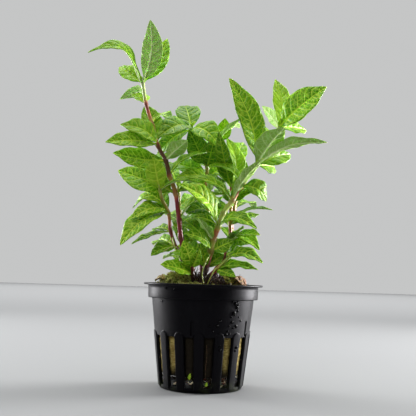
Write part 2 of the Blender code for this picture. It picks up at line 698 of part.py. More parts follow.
def rule_leaves(stem, seen, rng):
    """The leaves that the front view hides: pairs that fan out on the far side, turning from node to node."""
    leaves = []
    for k in range(RULE_LOWEST_NODE, len(stem.nodes)):
        node = Vector(stem.nodes[k])
        reaches = [Vector(leaf.tip) - node for leaf in seen if leaf.node == k]
        headings = [math.atan2(reach.y, reach.x) for reach in reaches]
        in_bush = node.z < BUSH_TOP
        fan = BUSH_FAN if in_bush else CROWN_FAN
        middle_heading = math.pi / 2 + (INWARD_TURN * node.x if in_bush else 0)
        pair_turn = math.radians(stem.turn + RULE_TURN_PER_NODE * k)
        for half_turn in (0, math.pi):
            spread = rng.uniform(-RULE_TURN_SPREAD, RULE_TURN_SPREAD)
            heading = middle_heading - fan * math.cos(pair_turn + half_turn + spread)
            if any(math.cos(heading - other) > RULE_CROWDING for other in headings):
                continue
            headings.append(heading)
            leaves.append(rule_leaf(k, node, heading, rng))
    return leaves


def rule_leaf(k, node, heading, rng):
    """A rising leaf of chance length on node k, in the given compass direction."""
    length = rng.uniform(*RULE_LENGTHS)
    rise = math.radians(rng.uniform(*RULE_RISE))
    flat = length * math.cos(rise)
    reach = Vector((flat * math.cos(heading), flat * math.sin(heading), length * math.sin(rise)))
    face = (rng.uniform(*RULE_FACE_ACROSS), rng.uniform(*RULE_FACE_FRONT), 1)
    tip = tuple(node + reach)
    return Leaf(k, tip, face, length * RULE_ARCH_SHARE, length * RULE_SLENDERNESS)


def surface(points, faces):
    return BVHTree.FromPolygons([tuple(point) for point in points], faces)


def object_surface(obj):
    mesh = obj.data
    points = [vertex.co for vertex in mesh.vertices]
    return surface(points, [tuple(face.vertices) for face in mesh.polygons])


def outer_part(points, faces):
    """The blade from its third station on. Leaves of one stem may meet before that."""
    return surface(points, [face for face in faces if min(face) >= 2 * POINTS_PER_STATION])


def fat_blade(leaf, base, tip):
    return blade(leaf, base, tip, stations_of(leaf), LEAF_THICKNESS + 2 * LEAF_CLEARANCE)


def is_clear(name, points, faces, fixed, stalks, grown):
    whole = surface(points, faces)
    if any(whole.overlap(other) for other in fixed):
        return False
    outer = outer_part(points, faces)
    for other, other_stalk in stalks.items():
        if (outer if other == name else whole).overlap(other_stalk):
            return False
    for other, other_whole, other_outer in grown:
        if other == name and outer.overlap(other_outer):
            return False
        if other != name and whole.overlap(other_whole):
            return False
    return True


def settle(name, leaf, base, fixed, stalks, grown):
    """The first tip, bent or shortened as little as needed, with which the leaf is clear of all others."""
    for shrink in SHRINKS:
        for dy, dz in BENDS:
            tip = base + (placed(leaf.tip) + Vector((0, dy * MM, dz * MM)) - base) * shrink
            if is_clear(name, *fat_blade(leaf, base, tip), fixed, stalks, grown):
                return tip
    return None


def grow_leaves(fixed, stalks):
    """(stem, leaf, base, tip) of every leaf: those seen from the front first, then the rule's."""
    rng = random.Random(RULE_SEED)
    wanted = [(name, leaf) for name, leaves in LEAVES.items() for leaf in leaves]
    for name, stem in STEMS.items():
        wanted += [(name, leaf) for leaf in rule_leaves(stem, LEAVES[name], rng)]
    grown, result = [], []
    for name, leaf in wanted:
        base = placed(STEMS[name].nodes[leaf.node])
        tip = settle(name, leaf, base, fixed, stalks, grown)
        if tip is None:
            print("no room for a leaf on", name, leaf)
            continue
        points, faces = blade(leaf, base, tip, stations_of(leaf), LEAF_THICKNESS)
        grown.append((name, surface(points, faces), outer_part(points, faces)))
        result.append((name, leaf, base, tip))
    return result


def make_stems(fixed_objects):
    fixed = [object_surface(obj) for obj in fixed_objects]
    shapes = {name: stalk(stem) for name, stem in STEMS.items()}
    stalks = {name: surface(*shape) for name, shape in shapes.items()}
    leaves = grow_leaves(fixed, stalks)
    green = material("leaf")
    for name, shape in shapes.items():
        stem = mesh_object(name, *shape, green)
        blades = [
            mesh_object("blade", *blade(leaf, base, tip, stations_of(leaf), LEAF_THICKNESS))
            for owner, leaf, base, tip in leaves
            if owner == name
        ]
        combine(stem, blades, "UNION", "MANIFOLD")
        print(name, len(blades), "leaves")


# Withered leaves


def make_withered(plug):
    """Dead leaves let down onto the plug until the fitting gap is left."""
    ground = object_surface(plug)
    look = material("withered")
    made = []
    for name, (foot, tip, face, arch, width) in WITHERED.items():
        leaf = Leaf(0, tip, face, arch, width)
        points, faces = blade(leaf, placed(foot), placed(tip), SMALL_LEAF_STATIONS, LEAF_THICKNESS)
        heights = []
        for point in points:
            hit = ground.ray_cast(point, Vector((0, 0, -1)))[0]
            if hit:
                heights.append(point.z - hit.z)
        drop = Vector((0, 0, min(heights) - WITHERED_GAP))
        made.append(mesh_object(name, [point - drop for point in points], faces, look))
    return made


def main():
    clear_scene()
    pot = make_pot()
    plug = make_plug()
    make_roots()
    withered = make_withered(plug)
    make_stems([pot, plug] + withered)


main()
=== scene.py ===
# %% [markdown]
# # A potted hygrophila, dressed over its CAD frame
# The plant grows in a plug of rock wool that stands in a small black net pot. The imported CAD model
# gives every place and size. This lesson gives each of its nodes the surface that the real thing has:
# thin net-veined leaves, knotted stems, fibrous wool, moss, roots and moulded plastic.
# Everything is in metres, with +Z up and the viewer at -Y.

# %% Load the frame
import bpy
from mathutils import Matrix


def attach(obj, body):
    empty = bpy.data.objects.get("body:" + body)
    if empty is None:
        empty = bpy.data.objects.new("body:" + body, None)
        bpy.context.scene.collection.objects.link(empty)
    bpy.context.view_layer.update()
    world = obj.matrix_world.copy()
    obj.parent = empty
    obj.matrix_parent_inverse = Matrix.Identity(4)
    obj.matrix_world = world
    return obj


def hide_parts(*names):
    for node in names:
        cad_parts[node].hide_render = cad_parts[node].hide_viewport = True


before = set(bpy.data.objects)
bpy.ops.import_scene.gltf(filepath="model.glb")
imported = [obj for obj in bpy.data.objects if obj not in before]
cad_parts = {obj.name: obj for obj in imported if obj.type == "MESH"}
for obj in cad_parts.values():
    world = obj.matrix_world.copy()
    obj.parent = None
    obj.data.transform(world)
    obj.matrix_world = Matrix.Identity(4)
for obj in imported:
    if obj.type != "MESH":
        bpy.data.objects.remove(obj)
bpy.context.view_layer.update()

# %% Modules and the millimetre
import math
import random
from collections import namedtuple

import bmesh
import bpy
import numpy as np
from mathutils import Matrix, Vector, noise
from mathutils.bvhtree import BVHTree

MM = 0.001


def placed(point):
    """A point given in millimetres, in metres."""
    return Vector(point) * MM


# %% [markdown]
# ## The camera
# The photo was taken from close by, a little above the pot's rim and looking slightly up, with a small
# roll. The pot's rim, collar and foot gave the camera's place, its tilt and its lens. The script sets
# the same camera, so that each leaf falls where the photo has it.

# %% Camera
CAMERA_PLACE = (1.1, -320.0, 49.7)
CAMERA_PITCH = math.radians(5.83)
CAMERA_ROLL = math.radians(1.7)
PICTURE_SIDE = 416
FOCAL_PIXELS = 686.0

camera_data = bpy.data.cameras.new("camera")
camera_data.sensor_width = 36.0
camera_data.lens = FOCAL_PIXELS / PICTURE_SIDE * camera_data.sensor_width
camera_data.clip_start = 0.01
camera = bpy.data.objects.new("camera", camera_data)
moved = Matrix.Translation(placed(CAMERA_PLACE))
turned_up = Matrix.Rotation(math.pi / 2 + CAMERA_PITCH, 4, "X")
camera.matrix_world = moved @ turned_up @ Matrix.Rotation(CAMERA_ROLL, 4, "Z")
bpy.context.scene.collection.objects.link(camera)
bpy.context.scene.camera = camera
print("lens", round(camera_data.lens, 2), "mm")

# %% [markdown]
# ## Studio light
# The pot shows one broad grey highlight near its left edge and one near its right edge, with black
# between them. A round wall mirrors a light that stands at twice the angle of its own face, so both
# side lamps stand a little behind the plant, far enough out to light the floor evenly. They also shine
# through the leaves, which makes their green bright and yellow. The middle of the pot mirrors what is
# in front of it. So the world is darker on the viewer's side, and only two weak soft lamps, one in
# front and one above, fill the shadows. A big lamp far behind lights the floor there.

# %% Lamps
def lamp(name, place, power, width, height, aim=(0, 0, 90), spread=180):
    data = bpy.data.lights.new(name, "AREA")
    data.shape = "RECTANGLE"
    data.size, data.size_y = width * MM, height * MM
    data.energy = power
    data.spread = math.radians(spread)
    made = bpy.data.objects.new(name, data)
    made.location = placed(place)
    made.rotation_euler = (placed(aim) - placed(place)).to_track_quat("-Z", "Y").to_euler()
    bpy.context.scene.collection.objects.link(made)


lamp("front_lamp", (-260, -620, 520), 1.9, 520, 420)
lamp("top_lamp", (-20, -40, 720), 2.3, 520, 420)
lamp("left_lamp", (-690, 380, 180), 3.3, 340, 420, aim=(0, 0, 75), spread=100)
lamp("right_lamp", (730, 300, 170), 7.0, 340, 420, aim=(0, 0, 75), spread=100)
lamp("backdrop_lamp", (0, 1700, 1300), 46.0, 3000, 2600, aim=(0, 1700, 0), spread=90)

bpy.context.scene.view_settings.view_transform = "Standard"
print("5 lamps")

# %% [markdown]
# ## Small tools for materials
# A material is a tree of nodes: some read a place or a stored value, some turn it into a pattern, and
# the last ones feed the shader. These helpers keep such a tree readable: one adds a node, one links or
# sets an input, and the others are the few sums that every pattern needs.

# %% Node helpers
def paint(red, green, blue):
    """A screen colour from 0 to 255 as the linear colour that shaders use."""
    shares = [value / 255 for value in (red, green, blue)]
    return tuple(s / 12.92 if s <= 0.04045 else ((s + 0.055) / 1.055) ** 2.4 for s in shares) + (1,)


def feed(node, socket, value):
    """Links another node's output to an input, or sets the input to a plain value."""
    if isinstance(value, bpy.types.NodeSocket):
        node.id_data.links.new(value, node.inputs[socket])
    else:
        node.inputs[socket].default_value = value


def put(tree, kind, inputs=(), **settings):
    """A new node: its settings are set, and its inputs fed by name or number."""
    node = tree.nodes.new(kind)
    for name, value in settings.items():
        setattr(node, name, value)
    for socket, value in dict(inputs).items():
        feed(node, socket, value)
    return node


def calc(tree, operation, *values):
    return put(tree, "ShaderNodeMath", enumerate(values), operation=operation).outputs[0]


def times(tree, first, second):
    return calc(tree, "MULTIPLY", first, second)


def plus(tree, first, second):
    return calc(tree, "ADD", first, second)


# %% Patterns and stored values
def fade(tree, value, start, end, low=0.0, high=1.0):
    """A soft step from low, where the value is at start, to high at end. Start may be above end."""
    sockets = ("Value", "From Min", "From Max", "To Min", "To Max")
    inputs = zip(sockets, (value, start, end, low, high))
    return put(tree, "ShaderNodeMapRange", inputs, interpolation_type="SMOOTHSTEP").outputs["Result"]


def blend(tree, share, first, second):
    """The first colour where the share is 0, the second where it is 1."""
    return put(tree, "ShaderNodeMix", {0: share, 6: first, 7: second}, data_type="RGBA").outputs[2]


def cloud(tree, place, scale, detail=2.0, roughness=0.5):
    inputs = {"Vector": place, "Scale": scale, "Detail": detail, "Roughness": roughness}
    return put(tree, "ShaderNodeTexNoise", inputs).outputs["Fac"]


def stretched(tree, place, by):
    return put(tree, "ShaderNodeVectorMath", {0: place, 1: by}, operation="MULTIPLY").outputs[0]


def millimetres(tree):
    """The point on the piece, in millimetres."""
    return stretched(tree, put(tree, "ShaderNodeTexCoord").outputs["Object"], (1000, 1000, 1000))


def split(tree, vector):
    return put(tree, "ShaderNodeSeparateXYZ", {0: vector}).outputs


def attribute(tree, name):
    return put(tree, "ShaderNodeAttribute", attribute_name=name).outputs["Vector"]


def stored(tree, name):
    """The three parts of a value that was stored on the mesh."""
    return split(tree, attribute(tree, name))


def bump(tree, height, depth, strength=1.0):
    """A normal from a height between 0 and 1, which stands for a depth in millimetres."""
    inputs = {"Height": height, "Distance": depth * MM, "Strength": strength}
    return put(tree, "ShaderNodeBump", inputs).outputs["Normal"]


# %% Groups and materials
def new_group(name, inputs, outputs):
    """An empty node group with named sockets: its tree, its inputs and its end node."""
    tree = bpy.data.node_groups.new(name, "ShaderNodeTree")
    for label, kind, value in inputs:
        socket = tree.interface.new_socket(label, in_out="INPUT", socket_type="NodeSocket" + kind)
        if value is not None:
            socket.default_value = value
    for label, kind in outputs:
        tree.interface.new_socket(label, in_out="OUTPUT", socket_type="NodeSocket" + kind)
    return tree, put(tree, "NodeGroupInput").outputs, put(tree, "NodeGroupOutput")


def use(tree, group, **values):
    """Places a group in a tree. Its inputs are named in lower case here, with _ for a space."""
    inputs = {label.replace("_", " ").capitalize(): value for label, value in values.items()}
    return put(tree, "ShaderNodeGroup", inputs, node_tree=group).outputs


def new_material(name, **settings):
    """A material with its tree and its Principled shader. The settings are values of the shader."""
    made = bpy.data.materials.new(name)
    made.use_nodes = True
    shader = made.node_tree.nodes["Principled BSDF"]
    for label, value in settings.items():
        shader.inputs[label.replace("_", " ").title().replace("Ior", "IOR")].default_value = value
    return made, made.node_tree, shader


# %% [markdown]
# ## The room
# The room's light has no edges of its own to mirror. It is dim on the viewer's side, so that the middle
# of the pot stays black, and bright behind the plant, which gives the pale wall.

# %% Light of the room
ROOM_DIM = 0.12
ROOM_BRIGHT = 0.58
world = bpy.data.worlds.new("studio")
world.use_nodes = True
tree = world.node_tree
backward = split(tree, put(tree, "ShaderNodeTexCoord").outputs["Generated"])["Y"]
room_range = {"Value": backward, "From Min": -0.4, "From Max": 0.4, "To Min": ROOM_DIM, "To Max": ROOM_BRIGHT}
sky = tree.nodes["Background"]
feed(sky, "Strength", put(tree, "ShaderNodeMapRange", room_range).outputs["Result"])
feed(sky, "Color", (0.96, 0.97, 0.97, 1))
bpy.context.scene.world = world
print("room light from", ROOM_DIM, "to", ROOM_BRIGHT)

# %% [markdown]
# ## Mottling
# Nothing on the plant has one even colour. Leaves are cloudy, stems streaky, wool and moss patchy, and
# even the black plastic has a film of dried water. One group makes that cloudiness at two scales, so
# that each material can ask for it with its own size and contrast.

# %% The mottle group
mottle, given, result = new_group(
    "mottle",
    [("Place", "Vector", None), ("Size", "Float", 4.0), ("Contrast", "Float", 1.0)],
    [("Value", "Float")],
)
scale = calc(mottle, "DIVIDE", 1.0, given["Size"])
broad = cloud(mottle, given["Place"], scale, 2.0)
fine = cloud(mottle, given["Place"], times(mottle, scale, 4.3), 3.0)
both = plus(mottle, times(mottle, broad, 0.65), times(mottle, fine, 0.35))
centred = times(mottle, calc(mottle, "SUBTRACT", both, 0.5), given["Contrast"])
feed(result, "Value", plus(mottle, centred, 0.5))


def mottled(tree, place, size, contrast):
    """The mottle group in a material, with clouds of a size in millimetres."""
    return use(tree, mottle, place=place, size=size, contrast=contrast)["Value"]


print("mottle group:", len(mottle.nodes), "nodes")

# %% [markdown]
# ## Where each stem and leaf stands
# Hygrophila carries its leaves in pairs at swollen nodes. Each stem is a line of nodes, and each leaf
# goes from a node to a tip, with its upper side facing a stated way. These are the same numbers as in
# the CAD source, in millimetres, because each fine leaf has to lie inside the coarse one that it
# replaces. The last word of a leaf names its look: the photo shows some leaves strongly netted, some
# pale or seen from below, and deep green ones in the middle of the bush.

# %% Stems and leaves
Stem = namedtuple("Stem", "foot radius top_radius turn nodes")
Leaf = namedtuple("Leaf", "node tip face arch width skew sweep look", defaults=(0.9, 0, "fresh"))

# Stems: foot on the plug (x, y), radius at foot and top, turn of the first leaf pair in degrees,
# and the leaf nodes from the bottom up (x, y, z)
STEMS = {
    "stem_tall": Stem((-4, -3), 1.2, 0.75, 60, [
        (-6, -3, 54), (-9, -4, 61), (-11, -5, 68), (-12, -6, 76), (-14, -8, 88), (-17, -8, 96),
        (-19, -8, 103), (-23, -8, 110), (-26, -8, 120), (-29, -8, 129), (-31, -8, 139)]),
    "stem_left": Stem((-7, 2), 0.9, 0.65, 100, [
        (-9, 2, 56), (-13, 0, 63), (-16, -2, 71), (-17, -5, 79), (-20, -9, 85), (-21, -11, 89)]),
    "stem_middle": Stem((-1, 6), 1.1, 0.7, 45, [
        (-1, 8, 57), (1, 8, 65), (1, 8, 78), (1, 8, 89), (0, 7, 97), (0, 6, 103), (-3, 5, 111),
        (-8, 3, 120)]),
    "stem_inner": Stem((5, 3), 1.0, 0.65, 80, [
        (6, 2, 54), (10, 2, 60), (12, 4, 67), (12, 6, 75), (12, 7, 85), (12, 7, 93), (10, 6, 103),
        (7, 6, 115)]),
    "stem_right": Stem((1, -5), 1.3, 0.8, 70, [
        (1, -6, 54), (3, -8, 62), (4, -9, 67), (6, -10, 73), (8, -10, 79), (12, -9, 85),
        (16, -8, 92), (23, -8, 102), (27, -8, 109), (30, -7, 115), (33, -6, 120)]),
    "shoot_front": Stem((-5, -9), 1.0, 0.7, 120, [(-5, -10, 51), (-5, -11, 54)]),
    "shoot_side": Stem((1.5, -10), 0.85, 0.6, 30, [(5.5, -11, 53.5), (10, -12, 58)]),
    "shoot_back_left": Stem((-8, 11), 1.1, 0.75, 20, [
        (-9, 13, 55), (-11, 15, 64), (-12, 17, 74), (-13, 19, 84), (-14, 20, 94)]),
    "shoot_back_right": Stem((8, 12), 1.1, 0.75, 75, [
        (9, 14, 55), (11, 16, 64), (13, 18, 74), (14, 19, 84), (16, 20, 95), (17, 21, 106)]),
}

# Leaves read from the photo: node on the stem, tip, direction that the upper side faces,
# height of the arch, width, how near the tip the arch peaks, and the blade's sideways bow
# The deep and shaded looks paint the leaves in the middle of the bush darker as shade.
LEAVES = {
    "stem_tall": [
        Leaf(10, (-28, -15, 167), (0.2, 0.95, 0.1), 0.5, 10, 0.9, -2.2),
        Leaf(10, (-21, 4, 165), (0.3, -0.9, 0.2), 0, 9, 0.9, 1),
        Leaf(10, (-55, -20, 149), (0, -0.7, 0.85), 9.5, 11, 1.25),
        Leaf(10, (-44, 4, 150), (-0.2, -0.9, 0.4), 1, 8),
        Leaf(9, (-37, 4, 137), (0, -0.8, 0.6), 1, 5, look="young"),
        Leaf(9, (-44, 8, 136), (0, 0.6, 0.8), 6, 7, look="young"),
        Leaf(7, (-30, 0, 131), (0.3, -0.9, 0.2), 1, 10),
        Leaf(7, (-40, -10, 118), (0.2, -0.8, 0.6), 4, 11),
        Leaf(7, (-45, -22, 108), (0.1, -0.85, 0.55), 2, 10, look="netted"),
        Leaf(6, (-42, -18, 104), (0.1, -0.9, 0.45), -2, 11, look="netted"),
        Leaf(4, (-42, -2, 99), (0, -0.9, 0.45), 1, 14, look="netted"),
        Leaf(6, (-9, -16, 111), (-0.1, 0.8, 0.6), 1, 8),
    ],
    "stem_left": [
        Leaf(5, (-24, -15, 103), (-0.2, -0.95, 0.2), 1, 9.5, look="young"),
        Leaf(4, (-19, -2, 101), (0.8, -0.5, 0.2), 1, 6),
        Leaf(3, (-34, -8, 81), (-0.1, -0.6, 0.8), 8, 10, look="netted"),
        Leaf(3, (-33, -16, 77), (0, -0.7, 0.7), 4, 9, look="netted"),
        Leaf(3, (-37, -24, 63), (-0.3, -0.75, 0.6), 5, 12, look="netted"),
        Leaf(2, (-33, -10, 64), (0, -0.3, 1), 1, 6),
        Leaf(2, (-25, 8, 72), (0, -0.6, 0.8), 1, 7),
        Leaf(1, (-24, -10, 59), (0, -0.6, 0.8), 2, 8),
    ],
    "stem_middle": [
        Leaf(7, (-23, -12, 112.5), (-0.1, -0.85, 0.5), 4.5, 12, look="deep_shaded"),
        Leaf(7, (-12, 20, 136), (0, -0.8, 0.6), 2, 12, look="deep_shaded"),
        Leaf(7, (6, -10, 110.5), (0.1, -0.85, 0.5), 4.5, 12, look="shaded"),
        Leaf(7, (-24, 6, 108), (-0.2, -0.85, 0.5), 3, 10, look="shaded"),
        Leaf(5, (-9, -2, 119), (-0.3, -0.9, 0.3), 1, 10, look="deep_shaded"),
        Leaf(5, (3, -2, 115), (0.2, -0.9, 0.3), 1, 9, look="deep_shaded"),
        Leaf(5, (18, -10, 125), (-0.6, 0.3, 0.75), 4, 5.5, look="young"),
        Leaf(4, (-18, 14, 105), (0, -0.8, 0.6), 3, 10),
        Leaf(4, (15, 12, 108), (0.1, -0.8, 0.6), 2, 9),
        Leaf(3, (-14, -8, 95), (0, -0.7, 0.7), 7, 11, look="netted"),
        Leaf(3, (-10, 18, 98), (0, -0.8, 0.6), 3, 10),
        Leaf(2, (-9, -6, 79), (-0.1, -0.8, 0.6), 4, 10, look="deep_shaded"),
        Leaf(2, (-13, 14, 84), (0, -0.8, 0.6), 3, 9),
        Leaf(1, (-7, -4, 69), (0, -0.7, 0.7), 3, 8),
        Leaf(0, (8, -1, 65), (0, -0.8, 0.5), 2, 7, look="deep_shaded"),
    ],
    "stem_inner": [
        Leaf(7, (8, 2, 126), (0.1, -0.9, 0.3), 1, 7, look="young"),
        Leaf(6, (18, 16, 117), (0.2, -0.9, 0.3), 2, 9),
        Leaf(5, (5, -6, 116), (-0.3, -0.9, 0.2), 1, 8, look="deep_shaded"),
        Leaf(5, (9, -2, 117), (0.5, -0.8, 0.2), 6, 9, look="young"),
        Leaf(5, (19, 4, 106), (0.3, -0.8, 0.4), 1, 8),
        Leaf(4, (0, 0, 97), (-0.2, -0.8, 0.6), 1, 10, look="deep_shaded"),
        Leaf(4, (22, 0, 91), (-0.2, -0.8, 0.6), 3, 10),
        Leaf(3, (31, -4, 82), (0, -0.2, 1), 4, 7),
        Leaf(3, (26, 10, 81), (0, -0.5, 0.9), 1, 7),
        Leaf(2, (25, -8, 63), (0.1, -0.6, 0.8), 5, 9, look="netted"),
        Leaf(2, (21, -2, 66), (0, -0.8, 0.5), 2, 8),
        Leaf(2, (24, -10, 69), (0.1, -0.8, 0.5), 2, 8, look="netted"),
        Leaf(2, (17, -9, 72), (0.1, -0.9, 0.3), 1, 7),
        Leaf(1, (17.5, -5, 63), (0, -0.9, 0.4), 1, 6.5),
        Leaf(0, (17, -3, 57), (0, -0.8, 0.6), 1, 6, look="deep_shaded"),
    ],
    "stem_right": [
        Leaf(10, (53, -18, 137), (-0.3, -0.9, 0.4), 2, 14.5, look="netted"),
        Leaf(10, (32, 6, 147), (0.3, -0.9, 0.1), 1, 10, 0.9, 2, look="young"),
        Leaf(10, (26, 8, 134), (0.5, 0.7, 0.3), 1, 6, look="young"),
        Leaf(10, (48, 10, 123), (0, -0.9, 0.4), 1, 9),
        Leaf(7, (9, -14, 141), (0.4, -0.9, 0.1), 3, 12.5, 0.9, 2, look="netted"),
        Leaf(7, (34, -22, 117), (-0.4, 0.8, 0.3), 2, 12),
        Leaf(7, (52, -26, 110), (-0.1, 0.45, 0.9), 5, 8),
        Leaf(7, (40, 6, 110), (0.3, -0.8, 0.5), 2, 10),
        Leaf(7, (33, 10, 104), (0.3, -0.9, 0.2), 1, 9),
        Leaf(6, (28, -4, 86), (0.4, -0.8, 0.4), 4, 10),
        Leaf(3, (-12, -24, 90), (0.5, -0.7, 0.55), 5, 12, 1.1, look="netted"),
        Leaf(5, (25, -20, 103), (-0.6, 0.6, 0.5), 2, 7),
        Leaf(3, (23, -18, 72), (0, -0.6, 0.8), 5, 9),
        Leaf(2, (-3, -18, 76), (0.5, 0.5, 0.5), 0, 6),
        Leaf(1, (-9, -18, 71), (0.2, -0.7, 0.6), 3, 9),
        Leaf(1, (13, -6, 71), (0.3, -0.95, 0.25), 0.5, 6.5),
        Leaf(0, (9, -1, 61), (0, -0.9, 0.4), 1, 5.5, look="deep_shaded"),
        Leaf(0, (-2, -10, 65), (-0.1, -1, 0.1), 0.5, 5.5, look="deep_shaded"),
    ],
    "shoot_front": [
        Leaf(0, (-19, -18, 55), (0.05, -0.75, 0.8), 0.8, 9, look="netted"),
        Leaf(1, (-9.5, -14, 66), (0.1, -1, 0.15), 1, 7.5, look="netted"),
        Leaf(1, (-2, -15, 62), (0.1, -0.95, 0.2), 0.5, 5),
    ],
    "shoot_side": [
        Leaf(1, (26, -17, 57), (0.05, -0.6, 0.9), 4, 9),
        Leaf(0, (24, -15, 54), (0, -0.5, 1), 2, 7.5),
        Leaf(0, (14, -19, 50.5), (0, -0.8, 0.6), 0.5, 5.5),
    ],
    "shoot_back_left": [],
    "shoot_back_right": [],
}
print(len(STEMS), "stems,", sum(len(leaves) for leaves in LEAVES.values()), "leaves read from the photo")

# %% [markdown]
# ## Leaves that the photo hides
# The far side of the bush isn't in the picture. A rule fills it: at each node a pair of leaves, turned a
# quarter from the pair below, that fans out away from the viewer. The draw of chance has a fixed seed,
# so it comes out the same in the CAD source and here.

# %% The rule's numbers
RULE_LENGTHS = (19, 31)
RULE_SLENDERNESS = 0.29
RULE_ARCH_SHARE = 0.15
RULE_CROWDING = 0.2
RULE_TURN_PER_NODE = 90
RULE_TURN_SPREAD = 0.35
RULE_RISE = (5, 35)
RULE_FACE_ACROSS = (-0.4, 0.4)
RULE_FACE_FRONT = (-0.9, -0.3)
BUSH_TOP = 100
BUSH_FAN = math.radians(48)
CROWN_FAN = math.radians(22)
INWARD_TURN = math.radians(1.5)
RULE_SEED = 5

# Withered leaves on the wool: foot, tip, upper side, arch, width
WITHERED = {
    "withered_leaf_long": ((16.5, -11, 50), (8, -11.5, 57), (0.4, -0.9, 0.5), 1.0, 6),
    "withered_leaf_short": ((20, -5, 50), (14, -13, 55), (0.5, -0.7, 0.6), 1.0, 5),
    "withered_scrap": ((-22, -6, 50), (-17, -12, 51), (-0.5, -0.3, 0.8), 0.8, 4),
}

# %% [markdown]
# ## The coarse leaf
# The CAD source bends a leaf clear wherever it would cut through a stem, the pot or another leaf. To
# end at the same tips, the same coarse blade is built and tested here, in the same order. Its form is
# simple: a straight line from node to tip, arched and bowed, with a width that swells and comes to a
# point, and the two halves folded up along the midrib.

# %% The form of a leaf
LEAF_THICKNESS = 0.62 * MM
LEAF_FOLD = 0.22
LEAF_WAVE = 0.35 * MM
LEFT_WAVES = 17
RIGHT_WAVES = 19
FULL_WAVE_HALF = 3.0 * MM
LEAF_CLEARANCE = 0.35 * MM
TANGENT_STEP = 0.03
PETIOLE_SHARE = 0.13
PETIOLE_END = 0.1
BLADE_SHARE = 0.96
BLADE_SKEW = 0.88
BLADE_FULLNESS = 0.85
NARROWEST_SHARE = 0.07
LARGE_LEAF = 10.5
LARGE_LEAF_STATIONS = (0, 0.11, 0.28, 0.46, 0.64, 0.82, 1)
SMALL_LEAF_STATIONS = (0, 0.14, 0.42, 0.72, 1)
POINTS_PER_STATION = 6


def width_share(t):
    """Share of the full width along a leaf: a winged stalk that widens into a pointed blade."""
    if t < PETIOLE_END:
        return PETIOLE_SHARE
    if t >= 1:
        return NARROWEST_SHARE
    u = (t - PETIOLE_END) / (1 - PETIOLE_END)
    swell = math.sin(math.pi * u**BLADE_SKEW) ** BLADE_FULLNESS
    return max(PETIOLE_SHARE * (1 - u) + BLADE_SHARE * swell, NARROWEST_SHARE)


def upper_side(leaf, chord):
    """The direction that the leaf's upper side faces, made square to the line from its base to its tip."""
    face = Vector(leaf.face)
    return (face - chord * face.dot(chord) / chord.length_squared).normalized()


def leaf_spine(leaf, base, tip, t):
    """The midrib at t: the straight line from base to tip, arched upwards and bowed sideways."""
    chord = tip - base
    above = upper_side(leaf, chord)
    side = chord.normalized().cross(above)
    arched = above * leaf.arch * math.sin(math.pi * t**leaf.skew)
    return base + chord * t + (arched + side * leaf.sweep * math.sin(math.pi * t)) * MM


# %% Rows across the blade
def leaf_row(leaf, base, tip, t):
    """Left, middle and right point of a leaf across its length at t, and its upward direction there."""
    middle = leaf_spine(leaf, base, tip, t)
    ahead = leaf_spine(leaf, base, tip, min(t + TANGENT_STEP, 1))
    behind = leaf_spine(leaf, base, tip, max(t - TANGENT_STEP, 0))
    tangent = (ahead - behind).normalized()
    side = tangent.cross(upper_side(leaf, tip - base)).normalized()
    up = side.cross(tangent)
    half = leaf.width * MM * width_share(t) / 2
    wave = LEAF_WAVE * min(1, half / FULL_WAVE_HALF)
    left_lift = LEAF_FOLD * half + wave * math.sin(LEFT_WAVES * t + leaf.width)
    right_lift = LEAF_FOLD * half + wave * math.cos(RIGHT_WAVES * t + leaf.width)
    left = middle - side * half + up * left_lift
    right = middle + side * half + up * right_lift
    return left, middle, right, up


# %% The coarse blade
def blade(leaf, base, tip, stations, thickness):
    """Points and triangles of a thin leaf, split alike on its upper and lower face."""
    points, faces = [], []
    for t in stations:
        left, middle, right, up = leaf_row(leaf, base, tip, t)
        lift = up * thickness / 2
        points += [left + lift, middle + lift, right + lift, left - lift, middle - lift, right - lift]
    for row in range(len(stations) - 1):
        a = POINTS_PER_STATION * row
        b = a + POINTS_PER_STATION
        for j in (0, 1):
            faces += [[a + j, a + j + 1, b + j + 1], [a + j, b + j + 1, b + j]]
            faces += [[a + j + 3, b + j + 4, a + j + 4], [a + j + 3, b + j + 3, b + j + 4]]
        faces += [[a, b, b + 3], [a, b + 3, a + 3], [a + 2, b + 5, b + 2], [a + 2, a + 5, b + 5]]
    last = POINTS_PER_STATION * (len(stations) - 1)
    for j in (0, 1):
        faces += [[j, j + 3, j + 4], [j, j + 4, j + 1]]
        faces += [[last + j, last + j + 4, last + j + 3], [last + j, last + j + 1, last + j + 4]]
    return points, faces


def stations_of(leaf):
    return LARGE_LEAF_STATIONS if leaf.width >= LARGE_LEAF else SMALL_LEAF_STATIONS


# %% [markdown]
# ## The coarse stem
# A stem stands straight in its hole in the wool, then runs through its nodes on a smooth curve, and
# swells a little at each node.

# %% The run of a stem
FIT_GAP = 0.3 * MM
HOLE_FLOOR = 35.0 * MM
STEM_FOOT = HOLE_FLOOR + FIT_GAP
STEM_STRAIGHT_TOP = 50.0 * MM
STEM_SIDES = 6
NODE_SWELL = 1.28
STEPS_PER_NODE = 2
BUD_LENGTH = 2.5 * MM
BUD_RADIUS = 0.3 * MM
NO_TUBE_RUNS_THIS_WAY = Vector((0.3, -1, 0.1))


def smooth_path(points, steps):
    """A Catmull-Rom curve through the points, with a number of steps in each span."""
    ends = [2 * points[0] - points[1]] + list(points) + [2 * points[-1] - points[-2]]
    path = []
    for a, b, c, d in zip(ends, ends[1:], ends[2:], ends[3:]):
        for k in range(steps):
            t = k / steps
            bend = (2 * a - 5 * b + 4 * c - d) * t**2 + (3 * b - a - 3 * c + d) * t**3
            path.append(b + ((c - a) * t + bend) / 2)
    return path + [points[-1]]


# %% Tubes
def tube_quads(rings, sides):
    """Quads between the rings of a tube, with its ends left open."""
    quads = []
    for lower in range(0, (rings - 1) * sides, sides):
        for j in range(sides):
            following = (j + 1) % sides
            quads.append((lower + j, lower + following, lower + sides + following, lower + sides + j))
    return quads


